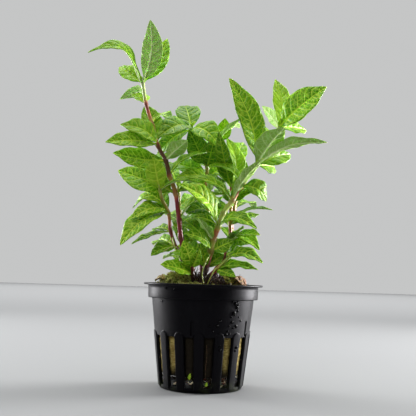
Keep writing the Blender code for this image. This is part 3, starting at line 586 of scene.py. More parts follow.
def tube(path, radii, sides, way=None, corners=0.0):
    """Points and faces of a closed tube along a path, with a radius for each of its points.

    A way that the tube never runs keeps its sides from turning. Corners make it slightly square.
    """
    points, last = [], len(path) - 1
    for k, (centre, radius) in enumerate(zip(path, radii)):
        tangent = (path[min(k + 1, last)] - path[max(k - 1, 0)]).normalized()
        across = (tangent.cross(way) if way else tangent.orthogonal()).normalized()
        other = tangent.cross(across)
        for j in range(sides):
            angle = 2 * math.pi * j / sides
            size = radius * (1 + corners * math.cos(4 * angle))
            points.append(centre + size * (across * math.cos(angle) + other * math.sin(angle)))
    ends = [tuple(range(sides - 1, -1, -1)), tuple(range(last * sides, (last + 1) * sides))]
    return points, tube_quads(len(path), sides) + ends


# %% The coarse stem's form
def stalk(stem):
    """Points and faces of a stem: straight in its hole, then through its nodes, swollen at each."""
    x, y = stem.foot
    buried = [Vector((x * MM, y * MM, z)) for z in (STEM_FOOT, (STEM_FOOT + STEM_STRAIGHT_TOP) / 2)]
    grown = [Vector((x * MM, y * MM, STEM_STRAIGHT_TOP))] + [placed(node) for node in stem.nodes]
    path = buried + smooth_path(grown, STEPS_PER_NODE)
    radii = []
    for k in range(len(path)):
        share = max(0, k - len(buried)) / (len(path) - len(buried))
        radius = (stem.radius + (stem.top_radius - stem.radius) * share) * MM
        at_node = k > len(buried) and (k - len(buried)) % STEPS_PER_NODE == 0
        radii.append(radius * (NODE_SWELL if at_node else 1))
    tip_way = (path[-1] - path[-2]).normalized()
    path.append(path[-1] + tip_way * BUD_LENGTH)
    radii.append(BUD_RADIUS)
    return tube(path, radii, STEM_SIDES, NO_TUBE_RUNS_THIS_WAY)


# %% Leaves of the rule
def rule_leaves(stem, seen, rng):
    """The leaves that the front view hides: pairs that fan out on the far side, turning from node to node."""
    leaves = []
    for k, place in enumerate(stem.nodes):
        node = Vector(place)
        reaches = [Vector(leaf.tip) - node for leaf in seen if leaf.node == k]
        headings = [math.atan2(reach.y, reach.x) for reach in reaches]
        in_bush = node.z < BUSH_TOP
        fan = BUSH_FAN if in_bush else CROWN_FAN
        middle_heading = math.pi / 2 + (INWARD_TURN * node.x if in_bush else 0)
        pair_turn = math.radians(stem.turn + RULE_TURN_PER_NODE * k)
        for half_turn in (0, math.pi):
            spread = rng.uniform(-RULE_TURN_SPREAD, RULE_TURN_SPREAD)
            heading = middle_heading - fan * math.cos(pair_turn + half_turn + spread)
            if any(math.cos(heading - other) > RULE_CROWDING for other in headings):
                continue
            headings.append(heading)
            leaves.append(rule_leaf(k, node, heading, rng))
    return leaves


def rule_leaf(k, node, heading, rng):
    """A rising leaf of chance length on node k, in the given compass direction."""
    length = rng.uniform(*RULE_LENGTHS)
    rise = math.radians(rng.uniform(*RULE_RISE))
    flat = length * math.cos(rise)
    reach = Vector((flat * math.cos(heading), flat * math.sin(heading), length * math.sin(rise)))
    face = (rng.uniform(*RULE_FACE_ACROSS), rng.uniform(*RULE_FACE_FRONT), 1)
    tip = tuple(node + reach)
    return Leaf(k, tip, face, length * RULE_ARCH_SHARE, length * RULE_SLENDERNESS)


# %% [markdown]
# ## Bending the leaves clear
# Each leaf tries its own tip first, then tips a little nearer or further from the viewer, higher or
# lower, and at last a shorter blade. The pot, the wool and the withered leaves come from the frame.

# %% Tests for a free place
# Ways to bend a leaf clear: its tip goes towards or away from the viewer, and a little up or down
BENDS = sorted(
    ((dy, dz) for dy in range(-18, 19, 3) for dz in range(-6, 7, 2)),
    key=lambda bend: (abs(bend[0]) + 2.5 * abs(bend[1]), bend),
)
SHRINKS = (1.0, 0.8, 0.62)


def surface(points, faces):
    return BVHTree.FromPolygons([tuple(point) for point in points], faces)


def object_surface(obj):
    mesh = obj.data
    points = [vertex.co for vertex in mesh.vertices]
    return surface(points, [tuple(face.vertices) for face in mesh.polygons])


def outer_part(points, faces):
    """The blade from its third station on. Leaves of one stem may meet before that."""
    return surface(points, [face for face in faces if min(face) >= 2 * POINTS_PER_STATION])


def fat_blade(leaf, base, tip):
    return blade(leaf, base, tip, stations_of(leaf), LEAF_THICKNESS + 2 * LEAF_CLEARANCE)


# %% Room for a leaf
def is_clear(name, points, faces, fixed, stalks, grown):
    whole = surface(points, faces)
    if any(whole.overlap(other) for other in fixed):
        return False
    outer = outer_part(points, faces)
    for other, other_stalk in stalks.items():
        if (outer if other == name else whole).overlap(other_stalk):
            return False
    for other, other_whole, other_outer in grown:
        if other == name and outer.overlap(other_outer):
            return False
        if other != name and whole.overlap(other_whole):
            return False
    return True


# %% Grow every leaf
def settle(name, leaf, base, fixed, stalks, grown):
    """The first tip, bent or shortened as little as needed, with which the leaf is clear of all others."""
    for shrink in SHRINKS:
        for dy, dz in BENDS:
            tip = base + (placed(leaf.tip) + Vector((0, dy * MM, dz * MM)) - base) * shrink
            if is_clear(name, *fat_blade(leaf, base, tip), fixed, stalks, grown):
                return tip
    return None


def grow_leaves(fixed, stalks):
    """(stem, leaf, base, tip) of every leaf: those seen from the front first, then the rule's."""
    rng = random.Random(RULE_SEED)
    wanted = [(name, leaf) for name, leaves in LEAVES.items() for leaf in leaves]
    for name, stem in STEMS.items():
        wanted += [(name, leaf) for leaf in rule_leaves(stem, LEAVES[name], rng)]
    grown, result = [], []
    for name, leaf in wanted:
        base = placed(STEMS[name].nodes[leaf.node])
        tip = settle(name, leaf, base, fixed, stalks, grown)
        if tip is None:
            print("no room for a leaf on", name, leaf)
            continue
        points, faces = blade(leaf, base, tip, stations_of(leaf), LEAF_THICKNESS)
        grown.append((name, surface(points, faces), outer_part(points, faces)))
        result.append((name, leaf, base, tip))
    return result


fixed = [object_surface(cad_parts[name]) for name in ["net_pot", "rockwool_plug", *WITHERED]]
stalk_forms = {name: stalk(stem) for name, stem in STEMS.items()}
settled = grow_leaves(fixed, {name: surface(*form) for name, form in stalk_forms.items()})
frame_surfaces = {name: object_surface(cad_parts[name]) for name in STEMS}
offs = []
for name, leaf, base, tip in settled:
    middle = leaf_spine(leaf, base, tip, 0.6)
    offs.append(frame_surfaces[name].find_nearest(middle)[3] / MM)
print(len(settled), "leaves, whose midribs lie at most", round(max(offs), 2), "mm from the CAD surface")

# %% [markdown]
# ## A fine leaf that follows its own veins
# A real hygrophila leaf has one strong midrib and five to nine side veins on each half, which leave the
# midrib at a slant, arch towards the tip and run into the next vein near the margin. Between them the
# blade bulges like a quilt. A plain grid would need very small faces to show that, so here each row of
# the grid leaves the midrib and runs out along a vein, and every eighth row is a vein. The two faces
# are separate sheets a quarter of a millimetre apart, closed round the margin, with the midrib standing
# out below.

# %% Where the veins run
ROWS_PER_VEIN = 8
VEIN_SPACING = 4.3
PETIOLE_ROWS = 3
FIRST_PHASE = 0.06
MOST_SLANT = 0.2
SLANT_PER_WIDTH = 1.15
ACROSS_STATIONS = np.array([0.07, 0.17, 0.30, 0.44, 0.58, 0.72, 0.86, 1.0])
across_row = np.concatenate([-ACROSS_STATIONS[::-1], [0.0], ACROSS_STATIONS])


def vein_count(length):
    """Side veins on each half of a leaf of this length in millimetres."""
    return int(min(9, max(4, round(length / VEIN_SPACING))))


def leaf_grid(leaf, length):
    """Rows by columns of (share along, share across, vein phase), with a whole phase at each vein."""
    veins = vein_count(length)
    petiole = np.linspace(0, FIRST_PHASE, PETIOLE_ROWS, endpoint=False)
    blade_rows = np.linspace(FIRST_PHASE, 1, veins * ROWS_PER_VEIN + 1)
    start = np.concatenate([petiole, blade_rows])
    share = np.clip((start - FIRST_PHASE) / (1 - FIRST_PHASE), 0, 1)
    slant = min(MOST_SLANT, SLANT_PER_WIDTH * leaf.width / 2 / length)
    out = np.abs(across_row)
    run_out = 0.55 * out + 0.45 * out**3
    along = start[:, None] + slant * 4 * (share * (1 - share))[:, None] * run_out
    across = np.broadcast_to(across_row, along.shape)
    phase = np.broadcast_to((share * veins)[:, None], along.shape)
    return along, across, phase, veins


# %% [markdown]
# ## The blade's surface
# The middle surface repeats the coarse leaf's sums for every point of the grid at once, with numpy.
# Then come the things that make it a leaf: the bulges between the veins, a fine ripple along the
# margin, the channel over the midrib, and below it the keel and the raised side veins.

# %% Shape of the blade
SHEET = 0.26
QUILT_HEIGHT = 0.34
CHANNEL_DEPTH = 0.2
CHANNEL_HALF = 0.45
KEEL_DEPTH = 0.5
KEEL_HALF = 0.5
VEIN_RAISE = 0.13
RIPPLE = 0.08
RIPPLES = 41
FINE_TIP_SHARE = 0.012


def vectors(value):
    return np.array(value, float)


def fine_width(along):
    """The coarse leaf's width as a share of the whole, but drawn out to a fine point at the tip."""
    u = np.clip((along - PETIOLE_END) / (1 - PETIOLE_END), 0, 1)
    swell = np.sin(np.pi * u**BLADE_SKEW) ** BLADE_FULLNESS
    share = PETIOLE_SHARE * (1 - u) + BLADE_SHARE * swell
    return np.where(along < PETIOLE_END, PETIOLE_SHARE, np.maximum(share, FINE_TIP_SHARE))


def fine_spine(leaf, base, tip, along):
    chord = vectors(tip - base)
    above = vectors(upper_side(leaf, tip - base))
    side = np.cross(chord / np.linalg.norm(chord), above)
    arch = leaf.arch * np.sin(np.pi * along**leaf.skew)
    bow = leaf.sweep * np.sin(np.pi * along)
    return vectors(base) + along[..., None] * chord + (arch[..., None] * above + bow[..., None] * side) * MM


def unit(rows):
    return rows / np.linalg.norm(rows, axis=-1, keepdims=True)


# %% Directions along the blade
def blade_frame(leaf, base, tip, along):
    """The midrib's points for each point of the grid, with the directions across and up there."""
    middle = fine_spine(leaf, base, tip, along)
    ahead = fine_spine(leaf, base, tip, np.minimum(along + TANGENT_STEP, 1))
    behind = fine_spine(leaf, base, tip, np.maximum(along - TANGENT_STEP, 0))
    tangent = unit(ahead - behind)
    side = unit(np.cross(tangent, vectors(upper_side(leaf, tip - base))))
    return middle, side, np.cross(side, tangent)


# %% Folds, waves and bulges
def folded(leaf, along, across, half):
    """Millimetres from the midrib up to the middle surface: the fold, the margin's waves and ripple."""
    out = np.abs(across)
    wave = np.where(
        across < 0,
        np.sin(LEFT_WAVES * along + leaf.width),
        np.cos(RIGHT_WAVES * along + leaf.width),
    )
    waved = LEAF_WAVE / MM * np.minimum(1, half / (FULL_WAVE_HALF / MM)) * wave * out**1.5
    ripple = np.sin(RIPPLES * along + 5 * leaf.width + 2 * np.sign(across)) * out**3
    ripple *= RIPPLE * np.minimum(1, half / 3)
    return LEAF_FOLD * half * (1.25 * out - 0.25 * out**2) + waved + ripple


def quilted(across, phase, half, rng):
    """Height of the bulges between the side veins, with a cell's own height for each."""
    cells = rng.uniform(0.55, 1.2, (2, 12))
    cell = cells[(across > 0).astype(int), np.clip(phase, 0, 11).astype(int)]
    swell = np.abs(np.sin(np.pi * phase)) ** 0.65
    out = np.abs(across)
    inside = np.clip(out / 0.17, 0, 1) * (1 - 0.6 * np.clip((out - 0.72) / 0.28, 0, 1))
    return QUILT_HEIGHT * cell * swell * inside * np.minimum(1, half / 4.0)


# %% Both faces of a leaf
def fine_leaf(leaf, base, tip, rng):
    """Upper and lower points of a leaf, and the values that its material reads."""
    length = (tip - base).length / MM
    along, across, phase, veins = leaf_grid(leaf, length)
    middle, side, up = blade_frame(leaf, base, tip, along)
    half = leaf.width * fine_width(along) / 2
    reach = across * half
    lift = folded(leaf, along, across, half) + quilted(across, phase, half, rng)
    near_midrib = np.exp(-((reach / CHANNEL_HALF) ** 2))
    channel = CHANNEL_DEPTH * near_midrib * (1 - 0.7 * along)
    keel = KEEL_DEPTH * np.exp(-((reach / KEEL_HALF) ** 2)) * (1 - 0.85 * along)
    on_vein = (np.abs(phase - np.round(phase)) < 0.06) * (phase > 0.5)
    raised = VEIN_RAISE * on_vein * (1 - 0.6 * np.abs(across))
    upper = lift + SHEET / 2 - channel
    lower = lift - SHEET / 2 - keel - raised * np.minimum(1, half / 2)
    flat = middle + side * reach[..., None] * MM
    values = {
        "leaf_place": np.stack([phase, across, along], -1),
        "leaf_size": np.stack([half, np.full_like(half, length / veins), along * length], -1),
    }
    return flat + up * upper[..., None] * MM, flat + up * lower[..., None] * MM, values


# %% [markdown]
# ## Joining the leaves of a stem
# All the leaves of one stem make one piece, so that the pieces stay few. Each leaf also gets its own place in
# a map of the piece, for baking its colours: two upright strips, one for each face, with a narrow border that
# holds the margin.

# %% Faces, map and stored values of a leaf
MAP_EDGE = 0.05
MAP_RIM = 0.03


def sheet_faces(rows, columns):
    """Quads of the upper sheet, the lower sheet and the margin, as point numbers of one leaf."""
    number = np.arange(rows * columns).reshape(rows, columns)
    a, b, c, d = number[:-1, :-1], number[:-1, 1:], number[1:, 1:], number[1:, :-1]
    upper = np.stack([a, b, c, d], -1).reshape(-1, 4)
    lower = upper[:, ::-1] + rows * columns
    ring = np.concatenate([number[0, :-1], number[:-1, -1], number[-1, :0:-1], number[:0:-1, 0]])
    following = np.roll(ring, -1)
    rim = np.stack([ring, ring + rows * columns, following + rows * columns, following], -1)
    return upper, lower, rim


def leaf_map(along, across, upper, lower, rim):
    """Map places of every corner of a leaf's faces, inside its own unit square."""
    half_way = 0.5
    wide = half_way - 2 * MAP_EDGE
    x = np.concatenate([(MAP_EDGE + wide * (across * 0.5 + 0.5)).ravel()] * 2)
    x[across.size:] += half_way
    y = np.concatenate([(MAP_EDGE + (1 - 2 * MAP_EDGE) * along).ravel()] * 2)
    flat = np.stack([x, y], -1)
    outward = np.concatenate([np.stack([across, 2 * along - 1], -1).reshape(-1, 2)] * 2)
    sheet = flat[np.concatenate([upper, lower]).ravel()]
    edge = flat[rim[:, [0, 0, 3, 3]].ravel()]
    push = np.tile([0, 1, 1, 0], len(rim))[:, None] * MAP_RIM
    towards = outward[rim[:, [0, 0, 3, 3]].ravel()]
    at_side = np.abs(towards[:, :1]) > 0.999
    step = np.sign(towards) * np.where(at_side, (1, 0), (0, 1))
    return np.concatenate([sheet, edge + push * step])


# %% Meshes and stored values
def quad_mesh(name, points, quads):
    mesh = bpy.data.meshes.new(name)
    mesh.vertices.add(len(points))
    mesh.vertices.foreach_set("co", np.ascontiguousarray(points, np.float32).ravel())
    mesh.loops.add(4 * len(quads))
    mesh.loops.foreach_set("vertex_index", np.ascontiguousarray(quads, np.int32).ravel())
    mesh.polygons.add(len(quads))
    mesh.polygons.foreach_set("loop_start", np.arange(0, 4 * len(quads), 4, dtype=np.int32))
    mesh.update(calc_edges=True)
    return mesh


def smooth_mesh(name, points, faces):
    """A mesh from points in metres and faces of any size, shaded smooth."""
    mesh = bpy.data.meshes.new(name)
    mesh.from_pydata([tuple(point) for point in points], [], faces)
    mesh.polygons.foreach_set("use_smooth", [True] * len(mesh.polygons))
    return mesh


def store(mesh, name, rows):
    held = mesh.attributes.new(name, "FLOAT_VECTOR", "POINT")
    held.data.foreach_set("vector", np.ascontiguousarray(rows, np.float32).ravel())


def show(name, mesh, slot, *nodes):
    """Puts a mesh in the scene as a piece that rides on the part and stands for the named nodes."""
    piece = bpy.data.objects.new(name, mesh)
    bpy.context.scene.collection.objects.link(piece)
    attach(piece, "root")
    if nodes:
        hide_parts(*nodes)
    return piece


# %% [markdown]
# ## The look of each leaf
# Young leaves at the top are pale and yellow, those in the middle of the bush are deep green, partly as
# painted shade, and some show a strong cream net. Three numbers per leaf tell its material so: how deep its
# green is, painted shade included, how strong its veins are, and a number of its own that shifts its pattern.

# %% Leaves of one stem
# The shaded and deep looks paint a leaf darker as shade, besides its own deeper green.
LOOKS = {
    "fresh": (0.35, 0.95),
    "young": (0.05, 0.85),
    "netted": (0.4, 1.5),
    "shaded": (0.58, 0.95),
    "deep_shaded": (0.8, 0.75),
}
# Fresh leaves whose tips lie below this height are painted darker as shade, and those above it a little
# lighter.
SHADE_BELOW = 118.0


def look_values(leaf, tip, rng):
    """Depth of green with painted shade, strength of veins, and the leaf's own number."""
    depth, strength = LOOKS[leaf.look]
    # A fresh leaf is painted darker as shade the lower its tip and on the far side of the bush, and a little
    # lighter near the top.
    if leaf.look == "fresh":
        shade = (SHADE_BELOW - tip.z / MM) / 160
        depth += max(-0.15, min(0.3, shade * (1 if tip.y < 0 else 1.5)))
    return (depth + rng.uniform(-0.1, 0.1), strength * rng.uniform(0.85, 1.15), rng.uniform(0, 50))


# %% Join the leaves
def join_leaves(name, leaves, rng):
    """One mesh of a list of (leaf, base, tip), with stored values and its own map."""
    points, quads, corners, kinds = [], [], [], []
    values = {"leaf_place": [], "leaf_size": [], "leaf_look": []}
    columns = max(1, math.ceil(math.sqrt(len(leaves) * 1.4)))
    rows = math.ceil(len(leaves) / columns)
    first = 0
    for k, (leaf, base, tip) in enumerate(leaves):
        upper_points, lower_points, held = fine_leaf(leaf, base, tip, rng)
        grid = upper_points.shape[:2]
        count = grid[0] * grid[1]
        faces = sheet_faces(*grid)
        place = held["leaf_place"]
        square = leaf_map(place[..., 2], place[..., 1], *faces)
        corners.append((square + (k % columns, k // columns)) / (columns, rows))
        points += [upper_points.reshape(-1, 3), lower_points.reshape(-1, 3)]
        quads += [part + first for part in faces]
        kinds.append(np.repeat([0, 1, 2], [len(part) for part in faces]))
        for label in held:
            values[label] += [held[label].reshape(-1, 3)] * 2
        values["leaf_look"].append(np.tile(look_values(leaf, tip, rng), (2 * count, 1)))
        first += 2 * count
    mesh = quad_mesh(name, np.concatenate(points), np.concatenate(quads))
    for label, rows_held in values.items():
        store(mesh, label, np.concatenate(rows_held))
    corners = np.concatenate(corners).astype(np.float32)
    mesh.uv_layers.new(name="OFBake").uv.foreach_set("vector", corners.ravel())
    kinds = np.concatenate(kinds)
    mesh.polygons.foreach_set("use_smooth", kinds < 2)
    mesh.polygons.foreach_set("material_index", (kinds == 1).astype(np.int32))
    return mesh


# %% [markdown]
# ## Leaf veins as a pattern
# The net of veins is drawn by a node group, so it stays sharp however near the camera comes. The mesh
# stores where each point is among the veins. The group turns that into the distance to the midrib, to
# the nearest side vein, to a looping vein inside the margin and to a fine net of cells, and widens or
# thins each line as the real ones do.

# %% The vein group
veins, given, result = new_group(
    "leaf veins",
    [
        ("Place", "Vector", None),
        ("Sizes", "Vector", None),
        ("Shift", "Float", 0.0),
        ("Midrib width", "Float", 0.95),
        ("Vein width", "Float", 0.42),
        ("Net size", "Float", 2.3),
    ],
    [("Midrib", "Float"), ("Side", "Float"), ("Net", "Float"), ("Height", "Float")],
)
phase, across, along = split(veins, given["Place"])
half, spacing, run = split(veins, given["Sizes"])
out = calc(veins, "ABSOLUTE", across)
reach = times(veins, across, half)
off_midrib = calc(veins, "ABSOLUTE", reach)
flat = put(veins, "ShaderNodeCombineXYZ", enumerate((run, reach, given["Shift"]))).outputs[0]
sway = times(veins, calc(veins, "SUBTRACT", cloud(veins, flat, 0.35, 2.0), 0.5), 0.3)
swayed = plus(veins, phase, times(veins, sway, out))

midrib_half = times(veins, given["Midrib width"], calc(veins, "MULTIPLY_ADD", along, -0.42, 0.5))
midrib = fade(veins, off_midrib, times(veins, midrib_half, 1.5), times(veins, midrib_half, 0.6))
print("inputs of the vein group:", len(given) - 1)


# %% Side veins
def line_mask(tree, distance, width):
    return fade(tree, distance, times(tree, width, 1.3), times(tree, width, 0.4))


def to_nearest(tree, value, shift=0.0):
    moved = plus(tree, value, shift)
    return calc(tree, "ABSOLUTE", calc(tree, "SUBTRACT", moved, calc(tree, "ROUND", moved)))


half_width = times(veins, given["Vein width"], calc(veins, "MULTIPLY_ADD", out, -0.32, 0.5))
slope = times(veins, spacing, 0.8)
side_distance = times(veins, to_nearest(veins, swayed), slope)
in_blade = fade(veins, phase, 0.35, 0.6)
before_margin = fade(veins, out, 0.96, 0.84)
main = times(veins, line_mask(veins, side_distance, half_width), times(veins, in_blade, before_margin))
print("side veins drawn")

# %% Loops, net and height
between_distance = times(veins, to_nearest(veins, swayed, 0.46), slope)
thin = times(veins, half_width, 0.6)
between = times(veins, line_mask(veins, between_distance, thin), fade(veins, out, 0.62, 0.4))
turn = calc(veins, "COSINE", times(veins, swayed, 2 * math.pi))
loop_place = calc(veins, "MULTIPLY_ADD", turn, 0.05, 0.84)
off_loop = calc(veins, "ABSOLUTE", calc(veins, "SUBTRACT", out, loop_place))
loop_distance = times(veins, off_loop, half)
loop = times(veins, line_mask(veins, loop_distance, thin), in_blade)
weaker = times(veins, calc(veins, "MAXIMUM", between, loop), 0.55)
side = calc(veins, "MAXIMUM", main, times(veins, weaker, in_blade))

fineness = calc(veins, "DIVIDE", 1.0, given["Net size"])
cell_inputs = {"Vector": flat, "Scale": fineness}
cells = put(veins, "ShaderNodeTexVoronoi", cell_inputs, feature="DISTANCE_TO_EDGE").outputs["Distance"]
net = times(veins, fade(veins, cells, 0.11, 0.03), in_blade)

wide_side = fade(veins, side_distance, 0.75, 0.05)
wide_midrib = fade(veins, off_midrib, 0.9, 0.1)
deepest = calc(veins, "MAXIMUM", wide_side, wide_midrib)
soft_net = times(veins, fade(veins, cells, 0.25, 0.0), 0.45)
height = calc(veins, "SUBTRACT", 1.0, calc(veins, "MAXIMUM", deepest, soft_net))
for label, value in (("Midrib", midrib), ("Side", side), ("Net", net), ("Height", height)):
    feed(result, label, value)
print("leaf veins group:", len(veins.nodes), "nodes")

# %% [markdown]
# ## Leaf green
# The upper side is a satin yellow-green with cream veins. The underside is paler and greyer, duller,
# and its midrib is broad. Both let some light through: a leaf lit from behind glows, so the shader's
# subsurface light carries a little of it through the thin sheet.

# %% Leaf materials
# The deep greens stand partly for painted shade on leaves in the middle of the bush.
UPPER_YOUNG = paint(142, 186, 24)
UPPER_FRESH = paint(106, 164, 5)
UPPER_DEEP_SHADED = paint(46, 108, 5)
UPPER_VEIN = paint(196, 220, 72)
UNDER_YOUNG = paint(176, 206, 118)
UNDER_FRESH = paint(152, 186, 86)
UNDER_DEEP_SHADED = paint(106, 150, 58)
UNDER_VEIN = paint(212, 226, 168)


def drawn_veins(tree, shift):
    """The vein group, fed from the values that are stored on a leaf."""
    place, sizes = attribute(tree, "leaf_place"), attribute(tree, "leaf_size")
    return use(tree, veins, place=place, sizes=sizes, shift=shift)


def leaf_material(name, greens, vein_colour, strengths, roughness, depth):
    """Green from young to deep, where deep is partly painted shade, mottled, with veins laid over it in three
    strengths.
    """
    made, tree, shader = new_material(name, subsurface_weight=0.25, specular_ior_level=0.2)
    feed(shader, "Subsurface Scale", 0.6 * MM)
    feed(shader, "Subsurface Radius", (0.7, 1.0, 0.2))
    depth_and_shade, strength, shift = stored(tree, "leaf_look")
    drawn = drawn_veins(tree, shift)
    clouds = mottled(tree, millimetres(tree), 7.0, 0.9)
    young = blend(tree, fade(tree, depth_and_shade, 0.0, 0.4), greens[0], greens[1])
    green = blend(tree, fade(tree, depth_and_shade, 0.4, 0.95), young, greens[2])
    light = fade(tree, clouds, 0.25, 0.75)
    green = blend(tree, light, blend(tree, 0.3, green, greens[2]), blend(tree, 0.2, green, greens[0]))
    lines = times(tree, drawn["Midrib"], strengths[0])
    lines = calc(tree, "MAXIMUM", lines, times(tree, drawn["Side"], strengths[1]))
    lines = calc(tree, "MAXIMUM", lines, times(tree, drawn["Net"], strengths[2]))
    share = calc(tree, "MINIMUM", times(tree, lines, strength), 1.0)
    feed(shader, "Base Color", blend(tree, share, green, vein_colour))
    feed(shader, "Roughness", fade(tree, clouds, 0.2, 0.8, roughness + 0.07, roughness - 0.07))
    feed(shader, "Normal", bump(tree, drawn["Height"], depth, 0.6))
    return made


upper_green = leaf_material(
    "leaf_upper_side", (UPPER_YOUNG, UPPER_FRESH, UPPER_DEEP_SHADED), UPPER_VEIN, (0.85, 0.8, 0.32), 0.42, 0.25)
under_green = leaf_material(
    "leaf_underside", (UNDER_YOUNG, UNDER_FRESH, UNDER_DEEP_SHADED), UNDER_VEIN, (0.95, 0.6, 0.25), 0.58, -0.2)
print("leaf materials made")

# %% [markdown]
# ## Growing tips
# Each stem ends in a pair of leaflets that haven't spread yet. They are only a few millimetres long, too
# small for the CAD model, which ends the stem in a point there.

# %% Leaflets at the tips
TIP_LEAFLETS = [
    ("stem_tall", (2.2, -1.5, 5.0), (-0.9, -0.4, 0.2), 2.4),
    ("stem_tall", (-2.6, -1.0, 4.2), (0.8, -0.6, 0.2), 2.2),
    ("stem_left", (-2.0, -2.0, 4.0), (0.6, -0.8, 0.2), 2.4),
    ("stem_left", (1.8, -1.5, 3.6), (-0.6, -0.8, 0.2), 2.2),
    ("stem_middle", (-1.5, -3.0, 3.5), (0.2, -0.6, 0.8), 2.6),
    ("stem_middle", (2.0, -2.5, 3.8), (-0.4, -0.7, 0.6), 2.4),
    ("stem_inner", (-1.8, -2.0, 4.2), (0.5, -0.8, 0.3), 2.4),
    ("stem_right", (3.4, -1.5, 3.0), (-0.5, -0.6, 0.6), 2.4),
    ("stem_right", (0.4, -1.8, 4.4), (0.3, -0.9, 0.2), 2.2),
    ("shoot_back_left", (0.8, -2.0, 4.0), (-0.3, -0.9, 0.3), 2.4),
    ("shoot_back_right", (1.0, -2.0, 4.0), (-0.3, -0.9, 0.3), 2.4),
]
for name, offset, face, width in TIP_LEAFLETS:
    base = placed(STEMS[name].nodes[-1])
    tip = base + placed(offset)
    settled.append((name, Leaf(0, tuple(tip / MM), face, 0.3, width, look="young"), base, tip))
print(len(TIP_LEAFLETS), "leaflets at the growing tips")

# %% Put the leaves on their stems
leaf_faces = 0
for name in STEMS:
    own = [(leaf, base, tip) for owner, leaf, base, tip in settled if owner == name]
    mesh = join_leaves(name + "_leaves", own, np.random.default_rng(len(name) + len(own)))
    for look in (upper_green, under_green):
        mesh.materials.append(look)
    show(name + "_leaves", mesh, "leaf", name)
    leaf_faces += len(mesh.polygons)
print(leaf_faces, "leaf faces")

# %% [markdown]
# ## Stems
# The stems are soft, a little angular, and swell into a ring at each node, where a scar shows the foot of
# each leaf. They are green near the top. Where light reaches them they turn bronze, and low down they are
# wine red, painted nearly black as shade at their feet. How far a stem has reddened, that painted shade
# included, is stored on its mesh at each height, and the material turns that into colour.

# %% Stem shapes
STALK_SIDES = 14
STALK_STEPS = 12
RING_WIDTH = 1.1
CORNER_SHARE = 0.07

# How red each stem is at a height in millimetres: 0 is pale green, 1 nearly black. The nearly black values at
# the stems' feet are painted shade low in the bush.
REDNESS_AND_SHADE = {
    "stem_tall": [
        (40, 1.1), (55, 0.95), (60, 0.82), (70, 0.76), (84, 0.78), (87, 0.5), (95, 0.42), (98, 0.98),
        (106, 0.98), (109, 0.7), (111, 0.58), (114, 0.3), (119, 0.36), (123, 0.5), (127, 0.68),
        (129.5, 0.62), (132, 0.15), (136, 0.05), (142, 0.0)],
    "stem_left": [(40, 1.1), (56, 0.95), (64, 0.82), (72, 0.7), (80, 0.42), (92, 0.2)],
    "stem_middle": [(40, 1.1), (54, 0.9), (65, 0.5), (89, 0.3), (97, 0.62), (101, 0.3), (122, 0.1)],
    "stem_inner": [
        (40, 1.1), (54, 0.95), (62, 0.7), (72, 0.66), (76, 0.35), (92, 0.6), (100, 0.5), (116, 0.15)],
    "stem_right": [
        (40, 1.15), (54, 1.0), (58, 0.78), (60.5, 0.36), (66, 0.26), (68, 0.5), (71, 0.58), (72.5, 0.25),
        (75, 0.2), (84, 0.24), (86.5, 0.5), (89, 0.62), (92, 0.4), (95, 0.1), (98, 0.03), (121, 0.0)],
    "shoot_front": [(40, 1.15), (52, 0.95), (57, 0.6)],
    "shoot_side": [(40, 1.15), (51, 1.0), (53.5, 0.6), (55, 0.25), (59, 0.15)],
    "shoot_back_left": [(40, 1.1), (56, 0.9), (70, 0.6), (95, 0.2)],
    "shoot_back_right": [(40, 1.1), (56, 0.9), (75, 0.65), (107, 0.15)],
}


# %% Line and thickness of a stem
def stalk_path(stem):
    """Points along a stem, and how near each is to a node, from 0 between nodes to 1 on one."""
    foot = Vector((*stem.foot, 0)) * MM
    grown = [foot + Vector((0, 0, STEM_STRAIGHT_TOP))] + [placed(node) for node in stem.nodes]
    path = [foot + Vector((0, 0, STEM_FOOT)), *smooth_path(grown, STALK_STEPS)]
    path.append(path[-1] + (path[-1] - path[-2]).normalized() * BUD_LENGTH)
    nearness = []
    for point in path:
        away = min((point - node).length for node in grown[1:]) / MM
        nearness.append(math.exp(-((away / RING_WIDTH) ** 2)))
    return path, nearness


def stalk_radii(nearness, stem):
    """Radii up the stem in metres: thinner towards the top, swollen at the nodes, then the bud's point."""
    radii = []
    for k, near in enumerate(nearness[:-1]):
        share = k / (len(nearness) - 1)
        radius = stem.radius + (stem.top_radius - stem.radius) * share
        radii.append(radius * (1 + (NODE_SWELL - 1) * near) * MM)
    return radii + [BUD_RADIUS]


def redness_and_shade(name, z):
    heights, values = zip(*REDNESS_AND_SHADE[name])
    return float(np.interp(z / MM, heights, values))


def brownness(z):
    """How far the red of a stem leans to brown: low stems are wine red, high ones brown."""
    return float(np.interp(z / MM, (84, 100), (0, 1)))


# %% The mesh of a stem
def stalk_mesh(name, stem):
    path, nearness = stalk_path(stem)
    radii = stalk_radii(nearness, stem)
    mesh = smooth_mesh(name, *tube(path, radii, STALK_SIDES, NO_TUBE_RUNS_THIS_WAY, CORNER_SHARE))
    held = []
    for near, point in zip(nearness, path):
        held += [(redness_and_shade(name, point.z), near, brownness(point.z))] * STALK_SIDES
    store(mesh, "stalk_look", held)
    return mesh


# %% Stem material
stem_skin, tree, shader = new_material("stem_skin", subsurface_weight=0.15)
feed(shader, "Subsurface Scale", 0.8 * MM)
red, near, brown = stored(tree, "stalk_look")
here = millimetres(tree)
streaks = cloud(tree, stretched(tree, here, (2.2, 2.2, 0.25)), 1.0, 3.0)
patches = mottled(tree, here, 5.0, 1.0)
shifted = plus(tree, red, times(tree, calc(tree, "SUBTRACT", streaks, 0.5), 0.35))
shifted = plus(tree, shifted, times(tree, calc(tree, "SUBTRACT", patches, 0.5), 0.3))
ramp = put(tree, "ShaderNodeValToRGB", {"Fac": shifted})
